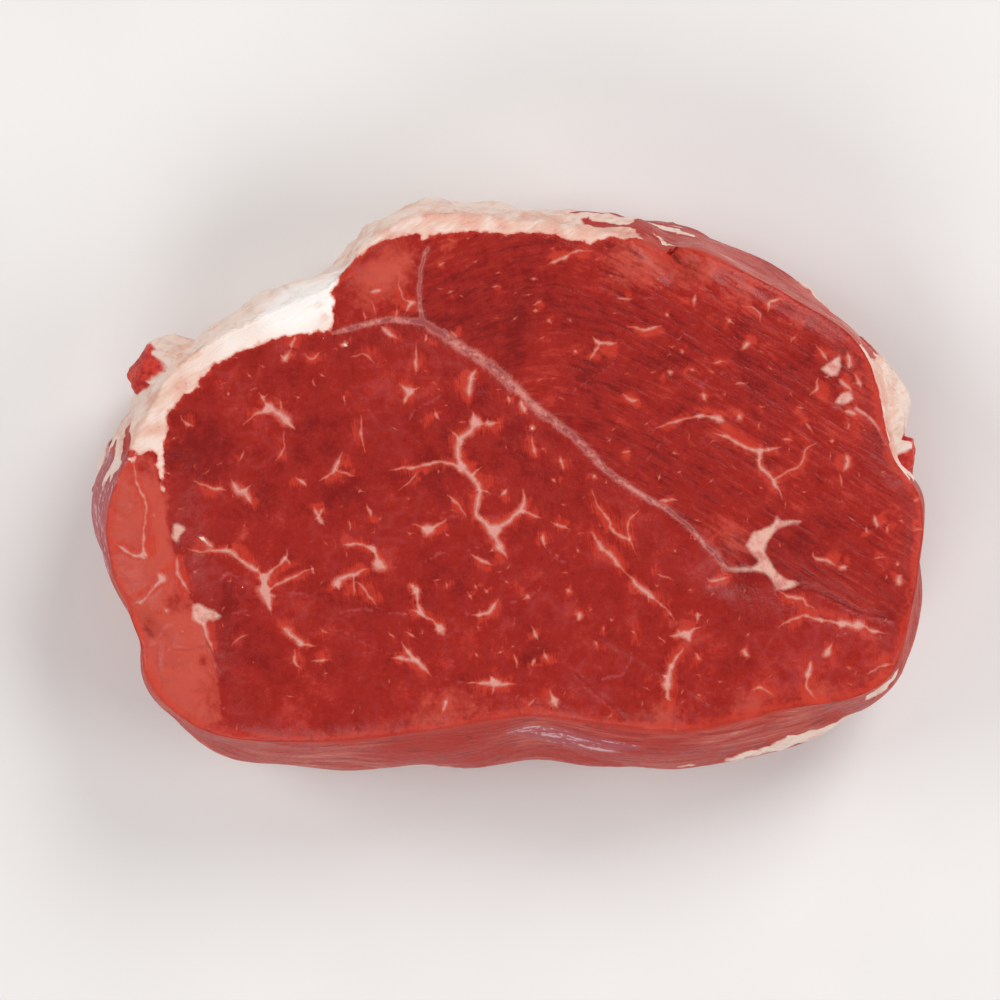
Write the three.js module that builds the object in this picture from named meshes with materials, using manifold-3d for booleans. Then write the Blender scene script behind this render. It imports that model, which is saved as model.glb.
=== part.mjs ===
// Raw beef shoulder roast: a thick slab cut across the muscles of the shoulder, lying on a cut face.
// The upper cut face shows a large round muscle and a broad upper one with a seam between them, and a
// small pale lobe at the left. A cap of fat covers the rear left flank, and the flanks bulge past the cut.
// It is one piece of meat, so it is one solid: fat, seams and marbling belong to it.
// Millimetres, +Z up, +X along the length, resting on Z = 0 with the origin at the middle of its base.
import * as THREE from "three";
import { mergeVertices } from "three/addons/utils/BufferGeometryUtils.js";
import { ImprovedNoise } from "three/addons/math/ImprovedNoise.js";
import Module from "manifold-3d";

// ---- Driving dimensions, mm ----

const THICKNESS = 50; // between the two cut faces
const BELLY_HEIGHT = 19; // where the sagging flank reaches furthest out
const BASE_TUCK = 6.5; // how far the foot of the flank draws in under the belly
const TUCK_CURVE = 2.4; // the larger, the rounder the flank below the belly
const SHOULDER_CURVE = 1.8; // and above it
const FOOT_ROUND = 2.5; // lift of the base's own rim above the surface
const FOOT_SPAN = 0.93; // share of the base, from its middle, that lies flat
const RIM_DROP = 1.3; // rounding of the cut edge
const RIM_SPAN = 0.9; // share of the cut face, from its middle, that the rounding leaves alone

// The grid of the slab: cells along its length, width and height.
const CELLS = { length: 46, width: 32, height: 12 };
const RIM_CROWDING = 0.25; // draws the cut face's cells together towards its edge

// The edge of the upper cut face, anticlockwise from the right-hand end: x, y, and how far the flank below
// bulges out past it.
const RIM = [
  [104.8, -9.5, 1.3], // right-hand end
  [103.6, -2.3, 2.7],
  [97.0, 6.8, 3.3], // notch under the fat on the right
  [93.5, 22.3, 8.9],
  [89.0, 34.6, 4.1],
  [72.5, 46.4, 6.2], // membrane of the upper muscle
  [52.2, 56.7, 5.9],
  [39.9, 60.4, 8.7], // folded notch
  [24.6, 63.7, 4.2], // fat cap begins
  [-0.5, 67.0, 3.3],
  [-20.6, 68.0, 3.5],
  [-30.8, 64.2, 4.5],
  [-37.4, 58.7, 3.6],
  [-43.1, 50.9, 6.8],
  [-65.7, 40.9, 4.8],
  [-84.0, 28.6, 7.4],
  [-92.8, 13.0, 7.7], // fat cap ends, membrane begins
  [-101.1, -7.8, 7.4], // left-hand corner
  [-99.6, -22.8, 2.8],
  [-92.8, -38.1, 1.2],
  [-90.5, -50.4, 2.8],
  [-75.7, -62.4, 5.1],
  [-46.9, -64.7, 8.9], // front flank
  [-19.3, -61.9, 11.5],
  [5.8, -58.2, 12.7],
  [23.3, -60.2, 13.2],
  [44.6, -61.9, 12.6],
  [69.7, -56.4, 12.7],
  [82.3, -54.9, 7.8],
  [91.5, -52.2, 4.4],
  [98.3, -45.9, 4.2],
  [101.6, -32.9, 4.3],
  [103.6, -20.6, 3.0],
];

// Grooves of the upper cut face, where one muscle meets the next or the cut has opened: the points of a
// smooth line, its depth and its half width.
const GROOVES = [
  {
    // long seam between the round muscle and the upper one
    line: [[-43, 38], [-21, 40.6], [-7, 30.6], [7, 18.6], [33, -3.3], [55, -21.6]],
    depth: 1.2,
    halfWidth: 7,
  },
  {
    // open crease where the seam runs out at the right
    line: [[55, -21.6], [66, -24.5], [84, -30.2], [104, -35]],
    depth: 1.8,
    halfWidth: 9,
  },
  {
    // boundary of the pale left lobe
    line: [[-86.6, 3.5], [-83.3, -12.8], [-78.3, -30.6], [-73, -45.9], [-68, -62]],
    depth: 1.5,
    halfWidth: 7,
  },
  {
    // cross crease through the lobe's lower end
    line: [[-94, -36], [-86, -40.5], [-77.6, -41.8]],
    depth: 2,
    halfWidth: 6,
  },
  {
    // folded notch in the rear edge
    line: [[38, 68], [39.5, 61], [43.5, 55.5]],
    depth: 4,
    halfWidth: 6,
  },
  {
    // shallow crease towards the front edge
    line: [[17, -48], [21.5, -51.5], [25, -54.5]],
    depth: 1,
    halfWidth: 5,
  },
];
const GROOVE_SAMPLES = 40;

// The muscles' own swell of the cut face: centre, reach and height, where a negative height sinks.
const SWELLS = [
  { at: [-25, -8], reach: 62, height: 1.5 }, // round muscle
  { at: [45, 28], reach: 52, height: 1.2 }, // upper muscle
  { at: [90, -8], reach: 26, height: 1.1 }, // right-hand end, above the crease
  { at: [-106, -18], reach: 34, height: -4.2 }, // left lobe falls away
  { at: [-92, -52], reach: 24, height: -2.2 },
  { at: [78, -48], reach: 30, height: -1.6 }, // below the crease
];

// Unevenness of flesh: height of the waves and their spacing. The fat cap at the rear left is craggier.
const FACE_WAVE = { height: 0.6, spacing: 16 };
const FLANK_WAVE = { height: 2, along: 24, up: 13 };
const FAT_CRAGS = { height: 2.4, along: 9, up: 10 };
const FAT_CAP = { behindY: 12, leftOfX: 36, fade: 12 };
const RELIEF_FADE = { foot: 9, edge: 6 }; // heights over which the flank's relief dies out at its two ends

// Swellings of the flank: centre, reach along the edge and up, and height. A negative height is a hollow.
const LUMPS = [
  { at: [-22, 68, 27], along: 15, up: 20, height: 2.4 }, // torn folds of the fat cap
  { at: [2, 67, 25], along: 17, up: 16, height: 2.2 },
  { at: [22, 65, 30], along: 15, up: 15, height: 3 },
  { at: [-37, 60, 14], along: 15, up: 14, height: 2.4 }, // fills the corner below the fat cap's shoulder
  { at: [-62, 43, 30], along: 18, up: 12, height: 2 },
  { at: [-76, 35, 12], along: 16, up: 12, height: -2 },
  { at: [42, 60, 40], along: 7, up: 14, height: -2.4 }, // folded notch
  { at: [58, 55, 18], along: 26, up: 12, height: 1.2 },
  { at: [70, 48, 32], along: 22, up: 9, height: -1.2 },
  { at: [96, 32, 30], along: 10, up: 15, height: 3.2 }, // knob of fat on the right
  { at: [100, 17, 26], along: 16, up: 16, height: 2.6 },
  { at: [100, 5, 14], along: 15, up: 13, height: 3.4 },
  { at: [103, -13, 34], along: 15, up: 14, height: 1.2 },
  { at: [103, -30, 16], along: 16, up: 13, height: 1.8 },
  { at: [93, -53, 30], along: 12, up: 14, height: 1.6 }, // tag at the front right corner
  { at: [62, -62, 12], along: 24, up: 11, height: 1.4 }, // fat showing under the front flank
  { at: [20, -62, 31], along: 26, up: 9, height: -1.4 },
  { at: [-8, -62, 24], along: 16, up: 14, height: 1.4 },
  { at: [-24, -62, 10], along: 14, up: 9, height: 1.8 },
  { at: [-44, -65, 34], along: 18, up: 9, height: -1.2 },
  { at: [-70, -66, 22], along: 16, up: 13, height: 1.6 },
  { at: [-94, -42, 15], along: 13, up: 12, height: 1.4 },
  { at: [-102, -12, 34], along: 14, up: 10, height: -1.2 },
  { at: [-97, 3, 18], along: 14, up: 12, height: 1.4 },
];

// Loose tags of flesh on the flank: centre, half sizes along, across and up, and the turn about Z.
const TAGS = [
  { at: [-91.5, 30.4, 32], half: [8, 3.6, 6.5], turn: 58 }, // scrap of lean behind the fat cap
  { at: [-87.5, 35, 30], half: [5, 3, 4.5], turn: 30 },
  { at: [102.5, 7, 30], half: [6, 2.2, 8], turn: 84 }, // strip of lean hanging at the right
  { at: [-91.6, -42.4, 37], half: [7.5, 2.4, 6], turn: 100 }, // flap at the front left
];
const TAG_CELLS = { around: 14, up: 10 };
const TAG_WAVE = { height: 0.3, perRadius: 2 };

// ---- Helpers ----

const noise = new ImprovedNoise();

// Rises from 0 to 1 as the value goes from one limit to the other, whichever of them is larger.
function smoothstep(from, to, value) {
  return THREE.MathUtils.smoothstep((value - from) / (to - from), 0, 1);
}

// 1 at no distance, falling smoothly to 0 at the reach.
function softBump(distance, reach) {
  const share = Math.min(distance / reach, 1);
  return (1 - share * share) ** 2;
}

function sampledLine(points) {
  const curve = new THREE.CatmullRomCurve3(points.map(([x, y]) => new THREE.Vector3(x, y, 0)));
  return curve.getPoints(GROOVE_SAMPLES);
}

function distanceToLine(x, y, samples) {
  const foot = new THREE.Vector3();
  const here = new THREE.Vector3(x, y, 0);
  let nearest = Infinity;
  for (let i = 1; i < samples.length; i++) {
    new THREE.Line3(samples[i - 1], samples[i]).closestPointToPoint(here, true, foot);
    nearest = Math.min(nearest, foot.distanceTo(here));
  }
  return nearest;
}

// ---- Upper cut face ----

const grooveLines = GROOVES.map((groove) => ({ ...groove, samples: sampledLine(groove.line) }));

// Height of the upper cut face over the point (x, y).
function faceHeight(x, y) {
  let z = THICKNESS;
  for (const { at, reach, height } of SWELLS) {
    z += height * softBump(Math.hypot(x - at[0], y - at[1]), reach);
  }
  for (const { samples, depth, halfWidth } of grooveLines) {
    z -= depth * softBump(distanceToLine(x, y, samples), halfWidth);
  }
  const { height, spacing } = FACE_WAVE;
  return z + height * noise.noise(x / spacing, y / spacing, 0.5);
}

// ---- Flank ----

// The cut edge as a closed curve whose third coordinate is the flank's bulge.
const rimCurve = new THREE.CatmullRomCurve3(
  RIM.map(([x, y, bulge]) => new THREE.Vector3(x, y, bulge)),
  true,
  "centripetal",
);

// The way out of the flank at a share of the way round: midway between square to the cut edge and
// straight from the middle, so that the flank doesn't cross itself in a notch.
function outwardAt(share, point) {
  const tangent = rimCurve.getTangent(share);
  const square = new THREE.Vector2(tangent.y, -tangent.x).normalize();
  const radial = new THREE.Vector2(point.x, point.y).normalize();
  return square.add(radial).normalize();
}

// How far the flank stands out of the cut edge at height z.
function overhang(bulge, z) {
  if (z < BELLY_HEIGHT) {
    const below = 1 - z / BELLY_HEIGHT;
    return bulge - BASE_TUCK * below ** TUCK_CURVE;
  }
  const above = (z - BELLY_HEIGHT) / (THICKNESS - BELLY_HEIGHT);
  return bulge * (1 - above ** SHOULDER_CURVE);
}

// How far the flank's own lumps and ripples shift it outwards at a point of the plain flank.
function flankRelief(x, y, z) {
  const { foot, edge } = RELIEF_FADE;
  const middle = smoothstep(0, foot, z) * smoothstep(THICKNESS, THICKNESS - edge, z);
  const wave = noise.noise(x / FLANK_WAVE.along, y / FLANK_WAVE.along, z / FLANK_WAVE.up);
  const crags = noise.noise(x / FAT_CRAGS.along, y / FAT_CRAGS.along, z / FAT_CRAGS.up);
  let relief = FLANK_WAVE.height * wave + FAT_CRAGS.height * crags * fatShare(x, y);
  for (const { at, along, up, height } of LUMPS) {
    const aside = Math.hypot(x - at[0], y - at[1]) / along;
    const above = (z - at[2]) / up;
    relief += height * softBump(Math.hypot(aside, above), 1);
  }
  return relief * middle;
}

// 1 within the fat cap's stretch of the rear left flank, fading to 0 beyond its ends.
function fatShare(x, y) {
  const { behindY, leftOfX, fade } = FAT_CAP;
  return smoothstep(behindY - fade, behindY, y) * smoothstep(leftOfX + fade, leftOfX, x);
}

// ---- The slab ----

// A box of 2 x 2 x 2 laid over the roast: its top and bottom become the cut faces and its sides the flank.
function slabGeometry() {
  const { length, width, height } = CELLS;
  const geometry = new THREE.BoxGeometry(2, 2, 2, length, width, height);
  const corner = new THREE.Vector3();
  const positions = geometry.attributes.position;
  for (let i = 0; i < positions.count; i++) {
    corner.fromBufferAttribute(positions, i);
    const placed = placeOnRoast(corner);
    positions.setXYZ(i, placed.x, placed.y, placed.z);
  }
  geometry.deleteAttribute("normal");
  geometry.deleteAttribute("uv");
  return mergeVertices(geometry, 1e-3);
}

function placeOnRoast({ x: a, y: b, z: c }) {
  // The box's square plan becomes a disc, and the disc's spokes run to the cut edge.
  const u = a * Math.sqrt(1 - (b * b) / 2);
  const v = b * Math.sqrt(1 - (a * a) / 2);
  const spoke = Math.hypot(u, v);
  const turn = Math.atan2(v, u) / (2 * Math.PI);
  const share = turn < 0 ? turn + 1 : turn;
  const rim = rimCurve.getPoint(share);
  const outward = outwardAt(share, rim);
  // Heights crowd together towards the two cut faces, where the flank turns.
  const z = (THICKNESS * (1 + Math.sin((c * Math.PI) / 2))) / 2;
  const reach = overhang(rim.z, z) + flankRelief(rim.x, rim.y, z);
  const edge = new THREE.Vector2(rim.x, rim.y).addScaledVector(outward, reach);
  const inward = spoke * (1 + RIM_CROWDING * (1 - spoke * spoke));
  const x = edge.x * inward;
  const y = edge.y * inward;
  if (c === 1) {
    const drop = RIM_DROP * smoothstep(RIM_SPAN, 1, inward) ** 2;
    return new THREE.Vector3(x, y, faceHeight(x, y) - drop);
  }
  if (c === -1) {
    return new THREE.Vector3(x, y, FOOT_ROUND * smoothstep(FOOT_SPAN, 1, inward) ** 2);
  }
  // Between the faces the flank's heights follow the edge of the cut face above and the foot below.
  const level = z / THICKNESS;
  const top = faceHeight(rim.x, rim.y) - RIM_DROP;
  return new THREE.Vector3(x, y, THREE.MathUtils.lerp(FOOT_ROUND, top, level));
}

// ---- Tags ----

// A lumpy ball, squeezed to the tag's half sizes.
function tagGeometry({ at, half, turn }) {
  const geometry = new THREE.SphereGeometry(1, TAG_CELLS.around, TAG_CELLS.up);
  const { height, perRadius } = TAG_WAVE;
  const point = new THREE.Vector3();
  const positions = geometry.attributes.position;
  for (let i = 0; i < positions.count; i++) {
    point.fromBufferAttribute(positions, i);
    const wave = point.clone().multiplyScalar(perRadius);
    point.multiplyScalar(1 + height * noise.noise(wave.x + at[0], wave.y + at[1], wave.z));
    positions.setXYZ(i, point.x, point.y, point.z);
  }
  geometry.scale(...half);
  geometry.rotateZ(THREE.MathUtils.degToRad(turn));
  geometry.translate(...at);
  geometry.deleteAttribute("normal");
  geometry.deleteAttribute("uv");
  return mergeVertices(geometry, 1e-3);
}

// ---- Joining ----

const wasm = await Module();
wasm.setup();

function solidOf(geometry) {
  return new wasm.Manifold(
    new wasm.Mesh({
      numProp: 3,
      vertProperties: new Float32Array(geometry.attributes.position.array),
      triVerts: new Uint32Array(geometry.index.array),
    }),
  );
}

function geometryOf(solid) {
  const { vertProperties, triVerts } = solid.getMesh();
  return new THREE.BufferGeometry()
    .setAttribute("position", new THREE.BufferAttribute(new Float32Array(vertProperties), 3))
    .setIndex(new THREE.BufferAttribute(new Uint32Array(triVerts), 1));
}

// The slab and its tags as one solid, moved so that the origin is at the middle of its base.
function roastGeometry() {
  let solid = solidOf(slabGeometry());
  for (const tag of TAGS) {
    solid = solid.add(solidOf(tagGeometry(tag)));
  }
  const geometry = geometryOf(solid);
  geometry.computeBoundingBox();
  const middle = geometry.boundingBox.getCenter(new THREE.Vector3());
  geometry.translate(-middle.x, -middle.y, -geometry.boundingBox.min.z);
  geometry.computeVertexNormals();
  return geometry;
}

const rawBeef = new THREE.MeshStandardMaterial({ color: 0xa82d28, roughness: 0.45, metalness: 0 });

const roast = new THREE.Mesh(roastGeometry(), rawBeef);
roast.name = "roast";

const group = new THREE.Group();
group.add(roast);

export default group;
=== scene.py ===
"""Looks of the raw beef shoulder roast.

The CAD solid gives the form. The skin made here follows it closely with a much finer mesh, which is finest
along the marbling, and adds the low relief of the flesh. The places of the marbling, seams, fat and tints
are pixels of the photograph, which looks straight down. They reach the skin as named attributes, and one
procedural material turns them into lean meat, fat, silverskin and membrane. Lengths are in millimetres
until the mesh is made.
"""

import math
import random

import bpy
import numpy as np
from mathutils import Euler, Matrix, Vector, kdtree, noise
from mathutils.bvhtree import BVHTree
from mathutils.geometry import delaunay_2d_cdt


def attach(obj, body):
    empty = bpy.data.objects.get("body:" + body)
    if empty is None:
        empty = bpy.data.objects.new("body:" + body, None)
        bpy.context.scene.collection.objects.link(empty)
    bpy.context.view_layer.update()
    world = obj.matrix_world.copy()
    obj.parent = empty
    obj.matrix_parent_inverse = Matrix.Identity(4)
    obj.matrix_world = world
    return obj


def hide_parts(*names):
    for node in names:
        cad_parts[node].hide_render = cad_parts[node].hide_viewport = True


MM = 0.001
PIECE = "roast_flesh"

# ---- The photograph's view ----

PHOTO_MIDDLE = 500  # pixels, across and down
CAMERA_X = -1.6
CAMERA_Y = -4.3
CAMERA_HEIGHT = 1000
FOCAL_PIXELS = 3788
CUT_HEIGHT = 50  # of the upper cut face, about
PIXELS_PER_MM = 3.95

# ---- The skin's mesh ----

COLUMNS = 640  # round the flank
RING_MEDIAN = 21  # neighbours over which a ring's jumps are taken out
EDGE_RISE = 1.5  # how much more a millimetre of height counts than one of radius where the edge is sought
FLANK_ROWS = 32
TOP_SPACING = 0.83
UNDER_SPACING = 1.5
BOX_MARGIN = 0.002  # by which the skin stays inside the CAD solid's box
STROKE_STEP = 2.0  # pixels between the points along a stroke
STROKE_EDGE = 1.0  # pixels past a stroke's edge, where a further row of points follows it

# ---- Strokes of the upper cut face: width and points, in pixels of the photograph ----

MARBLING = [
    # the triangle of paler lean at the rear left
    (5, [(370, 292), (381, 290)]),
    (2, [(372, 302), (376, 315)]),
    (2, [(399, 272), (400, 290), (404, 299), (413, 302)]),
    (2, [(363, 311), (365, 320)]),
    (2.5, [(397, 309), (396, 318)]),
    (4.5, [(381, 326), (388, 333), (398, 339)]),
    (3, [(411, 304), (406, 312)]),
    (3, [(427, 334), (425, 341)]),
    (3, [(451, 331), (457, 337)]),
    # round muscle, rear left
    (3, [(295, 335), (291, 349)]),
    (6, [(288, 354), (285, 361)]),
    (2.5, [(305, 354), (311, 359), (320, 352)]),
    (6, [(341, 345), (348, 343)]),
    (2, [(350, 357), (365, 354), (374, 363)]),
    (3, [(416, 345), (416, 374)]),
    (5, [(400, 384), (410, 392), (418, 388)]),
    (4, [(410, 392), (404, 403)]),
    (2.5, [(361, 416), (362, 437), (365, 452)]),
    (2.5, [(344, 395), (345, 403)]),
    (2.5, [(320, 374), (324, 376)]),
    (2.5, [(313, 379), (316, 386)]),
    (3, [(248, 374), (251, 377)]),
    (2.5, [(228, 392), (229, 396)]),
    (3, [(260, 394), (269, 407)]),
    (8, [(269, 408), (280, 414), (286, 420)]),
    (3.5, [(286, 420), (295, 429)]),
    (3, [(269, 409), (255, 414), (244, 424)]),
    (2, [(280, 400), (282, 409)]),
    (2.5, [(181, 415), (185, 422), (193, 426)]),
    (2.5, [(284, 432), (284, 448), (276, 460)]),
    (2, [(244, 451), (240, 460)]),
    (3.5, [(195, 481), (207, 486), (225, 490)]),
    (6.5, [(232, 481), (237, 490), (244, 493), (251, 503)]),
    (3, [(244, 492), (251, 485)]),
    (4, [(342, 453), (337, 464), (331, 474), (319, 481)]),
    (2.5, [(336, 470), (354, 476)]),
    (3, [(296, 478), (306, 486)]),
    (4, [(314, 507), (319, 517), (324, 525)]),
    (3, [(324, 508), (315, 520)]),
    (3, [(367, 505), (371, 517)]),
    (2, [(349, 520), (350, 531)]),
    (3, [(325, 542), (327, 545)]),
    (4, [(344, 545), (358, 544), (373, 549)]),
    # round muscle, middle
    (5, [(473, 412), (476, 421), (482, 424), (497, 423)]),
    (6, [(475, 423), (468, 433), (460, 440), (458, 452), (461, 466)]),
    (3, [(451, 431), (458, 440)]),
    (3.5, [(391, 470), (406, 468), (421, 466), (439, 462), (450, 464), (462, 468)]),
    (5, [(462, 468), (472, 478), (480, 491), (477, 504), (478, 517), (494, 531)]),
    (2.5, [(480, 468), (472, 476)]),
    (2, [(417, 472), (412, 480), (399, 490)]),
    (5.5, [(476, 370), (470, 380), (469, 397)]),
    (3, [(480, 491), (489, 493)]),
    (3.5, [(500, 496), (507, 489)]),
    (5, [(523, 491), (524, 500), (519, 511), (506, 523), (494, 531)]),
    (2.5, [(521, 511), (531, 514), (541, 518)]),
    (2.5, [(553, 523), (569, 529)]),
    (9, [(494, 531), (496, 540), (499, 546)]),
    (4, [(499, 546), (507, 558)]),
    (2.5, [(447, 495), (455, 502), (466, 516)]),
    (4, [(413, 524), (429, 529), (446, 520)]),
    (6, [(428, 530), (427, 535)]),
    (3.5, [(471, 554), (482, 561), (492, 565)]),
    (3, [(543, 533), (543, 540), (545, 547)]),
    (2.5, [(508, 396), (509, 403)]),
    (4, [(520, 399), (525, 413)]),
    (5, [(532, 426), (534, 429)]),
    (4, [(532, 436), (532, 445), (536, 456)]),
    (3, [(561, 457), (563, 470)]),
    (4, [(593, 475), (596, 478)]),
    (3, [(435, 411), (439, 419)]),
    (3, [(552, 479), (555, 482)]),
    (3, [(592, 491), (598, 506), (609, 521), (610, 529), (621, 537), (630, 541), (636, 554)]),
    (2.5, [(639, 510), (628, 523), (630, 539)]),
    (5, [(592, 532), (599, 544), (613, 558), (625, 572)]),
    (5, [(628, 575), (637, 584), (652, 597)]),
    (3, [(652, 597), (664, 607), (674, 619)]),
    (2, [(657, 574), (672, 580)]),
    (2.5, [(556, 554), (558, 557)]),
    (3, [(577, 549), (579, 552)]),
    # round muscle, front
    (7, [(411, 585), (416, 590)]),
    (4, [(416, 590), (418, 606), (421, 613)]),
    (3.5, [(412, 610), (421, 614), (435, 623), (441, 630)]),
    (5, [(440, 628), (443, 633)]),
    (4.5, [(473, 615), (486, 613), (494, 606), (497, 601)]),
    (3.5, [(505, 581), (508, 583)]),
    (5.5, [(526, 595), (530, 598)]),
    (5.5, [(566, 589), (571, 592)]),
    (3.5, [(469, 594), (471, 598)]),
    (3, [(475, 585), (477, 589)]),
    (3, [(485, 590), (488, 593)]),
    (3.5, [(446, 583), (447, 588)]),
    (5, [(580, 613), (578, 620)]),
    (3.5, [(532, 627), (538, 639)]),
    (3, [(544, 652), (550, 664)]),
    (3.5, [(534, 659), (533, 666)]),
    (4, [(594, 641), (597, 646)]),
    (4.5, [(631, 631), (635, 634)]),
    (3, [(610, 619), (613, 620)]),
    (5, [(468, 683), (482, 683), (494, 683), (513, 684)]),
    (4.5, [(494, 683), (493, 692)]),
    (2.5, [(490, 676), (494, 683)]),
    (4, [(402, 643), (406, 649), (417, 660), (431, 676)]),
    (4, [(393, 658), (417, 660)]),
    (3, [(406, 632), (415, 637)]),
    (2, [(389, 632), (394, 637)]),
    (4, [(447, 698), (442, 713)]),
    (3, [(475, 653), (478, 657)]),
    (3, [(514, 654), (517, 666)]),
    (2.5, [(477, 626), (479, 629)]),
    (3, [(550, 690), (554, 701)]),
    (7, [(555, 702), (557, 707)]),
    (2.5, [(534, 699), (528, 706)]),
    # long vein and star towards the right
    (5, [(670, 636), (678, 636), (687, 635), (693, 630), (700, 627)]),
    (6, [(683, 631), (688, 637), (690, 642)]),
    (3, [(684, 647), (677, 657), (671, 667)]),
    (5.5, [(671, 667), (667, 684)]),
    (3, [(667, 684), (667, 697), (671, 701)]),
    (4.5, [(697, 612), (697, 621)]),
    (2.5, [(658, 636), (665, 643)]),
    (2.5, [(695, 653), (701, 660)]),
    # left part of the round muscle
    (5, [(199, 537), (207, 542), (213, 547)]),
    (3, [(188, 549), (202, 552), (218, 550), (228, 551)]),
    (4.5, [(230, 551), (241, 560), (255, 569), (264, 578)]),
    (3.5, [(264, 578), (276, 567), (286, 558), (287, 551)]),
    (2.5, [(285, 558), (290, 565)]),
    (4, [(264, 578), (265, 590)]),
    (8, [(265, 590), (267, 597)]),
    (4, [(267, 597), (271, 613)]),
    (3.5, [(268, 592), (280, 583), (292, 579), (303, 572), (313, 569)]),
    (2.5, [(311, 566), (314, 574)]),
    (5.5, [(335, 584), (342, 578), (356, 573), (366, 569)]),
    (2.5, [(354, 576), (354, 594)]),
    (2.5, [(356, 581), (365, 590), (375, 604)]),
    (3, [(338, 583), (339, 590)]),
    (9, [(379, 566), (385, 568)]),
    (4, [(378, 563), (374, 549)]),
    (4.5, [(177, 557), (178, 574), (184, 585), (189, 592)]),
    (4.5, [(202, 619), (207, 638), (214, 653)]),
    (2.5, [(232, 645), (239, 638), (247, 635)]),
    (5.5, [(283, 628), (292, 636), (300, 643)]),
    (3.5, [(300, 643), (315, 646)]),
    (3.5, [(295, 652), (294, 661), (300, 668)]),
    (3, [(312, 661), (327, 660)]),
    (2.5, [(321, 629), (328, 633)]),
    (5, [(165, 609), (168, 612)]),
    # pale left lobe
    (3.5, [(133, 459), (135, 473), (139, 487), (146, 505), (145, 523), (143, 540), (144, 556)]),
    (4, [(144, 556), (136, 556), (127, 552), (116, 544)]),
    (3, [(153, 514), (155, 517)]),
    (7, [(159, 574), (163, 579)]),
    (4, [(162, 579), (152, 590), (145, 599), (132, 605)]),
    # upper muscle, rear
    (3.5, [(549, 264), (564, 258)]),
    (2.5, [(564, 258), (574, 252), (590, 251)]),
    (3, [(439, 266), (445, 262)]),
    (2.5, [(473, 262), (477, 260)]),
    (3, [(531, 279), (536, 279)]),
    (2.5, [(526, 295), (531, 294)]),
    (2.5, [(448, 293), (453, 291)]),
    (2, [(492, 287), (498, 286)]),
    (2.5, [(533, 305), (541, 301)]),
    (3.5, [(533, 311), (538, 311)]),
    (3.5, [(547, 320), (550, 322)]),
    (3, [(569, 320), (571, 321)]),
    (3, [(513, 320), (517, 317)]),
    (2.5, [(617, 298), (631, 299)]),
    (3.5, [(629, 327), (645, 329), (661, 326)]),
    (4, [(593, 337), (600, 343), (617, 343)]),
    (3, [(600, 343), (596, 349), (590, 360)]),
    (4, [(574, 350), (576, 353)]),
    (3.5, [(623, 394), (633, 401), (638, 400)]),
    (4, [(666, 313), (668, 317)]),
    (3.5, [(681, 350), (683, 354)]),
    (5, [(668, 371), (673, 372)]),
    (3.5, [(690, 369), (694, 371)]),
    (3, [(621, 453), (631, 451)]),
    (2.5, [(672, 453), (678, 454)]),
    (3, [(695, 295), (694, 306)]),
    (3.5, [(744, 307), (754, 308), (760, 314), (760, 321)]),
    (3.5, [(768, 311), (769, 302), (783, 299)]),
    (5, [(727, 319), (732, 322)]),
    (4.5, [(750, 343), (742, 349)]),
    (2.5, [(796, 336), (791, 342)]),
    (2.5, [(713, 363), (726, 361)]),
    (4.5, [(703, 394), (705, 400)]),
    (2.5, [(735, 384), (746, 383)]),
    (3, [(760, 406), (763, 407)]),
    (3.5, [(797, 407), (804, 408)]),
    (2.5, [(769, 367), (772, 369)]),
    (5.5, [(738, 415), (742, 418)]),
    (3.5, [(656, 428), (666, 425), (684, 419), (701, 416), (718, 418)]),
    (5.5, [(720, 420), (723, 422)]),
    (3.5, [(715, 433), (732, 440), (746, 448), (760, 451)]),
    (2.5, [(760, 451), (781, 447)]),
    (4, [(760, 451), (760, 466), (773, 480), (782, 498)]),
    (2.5, [(773, 480), (787, 472), (801, 464), (807, 449), (816, 443)]),
    (3, [(806, 423), (813, 433)]),
    (3, [(830, 441), (834, 441)]),
    (2.5, [(783, 439), (791, 440)]),
    # knot of fat by the right flank
    (3, [(817, 347), (828, 362)]),
    (4.5, [(839, 379), (852, 392)]),
    (5.5, [(848, 354), (849, 368)]),
    (3.5, [(855, 374), (861, 388)]),
    (4, [(818, 378), (817, 388), (811, 394)]),
    (4.5, [(844, 411), (856, 415)]),
    (5, [(846, 455), (848, 462), (844, 470)]),
    (3, [(848, 423), (847, 429)]),
    (2.5, [(840, 474), (842, 486)]),
    (2.5, [(881, 472), (885, 471)]),
    (2.5, [(658, 501), (677, 500)]),
    (3, [(696, 520), (699, 521)]),
    (3, [(674, 550), (676, 552)]),
    # right-hand end
    (3.5, [(813, 552), (814, 558), (826, 561), (836, 566)]),
    (6, [(840, 568), (846, 568)]),
    (2.5, [(874, 558), (885, 557)]),
    (5.5, [(899, 576), (899, 584)]),
    (3, [(897, 563), (898, 565)]),
    (4.5, [(874, 516), (877, 527)]),
    (3, [(866, 527), (868, 533)]),
    (2.5, [(888, 526), (888, 533)]),
    (3, [(899, 521), (903, 522)]),
    (3, [(914, 502), (920, 498)]),
    (3, [(913, 531), (924, 529)]),
    (3, [(707, 578), (711, 582), (730, 577)]),
    (3, [(779, 591), (789, 597), (801, 598), (807, 604), (816, 610)]),
    (3.5, [(779, 627), (787, 622), (803, 617), (816, 619), (828, 621), (842, 624)]),
    (6.5, [(842, 624), (857, 625)]),
    (4, [(857, 625), (865, 627), (871, 631), (883, 633)]),
    (4, [(742, 651), (748, 656)]),
    (3, [(832, 643), (828, 651)]),
    (5, [(827, 654), (824, 655)]),
    (4, [(811, 661), (808, 674)]),
    (3, [(808, 674), (807, 688), (818, 701)]),
    (3.5, [(752, 690), (762, 689), (774, 696)]),
    (3.5, [(868, 674), (881, 666), (893, 664)]),
    (3, [(847, 667), (850, 669)]),
]

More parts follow.
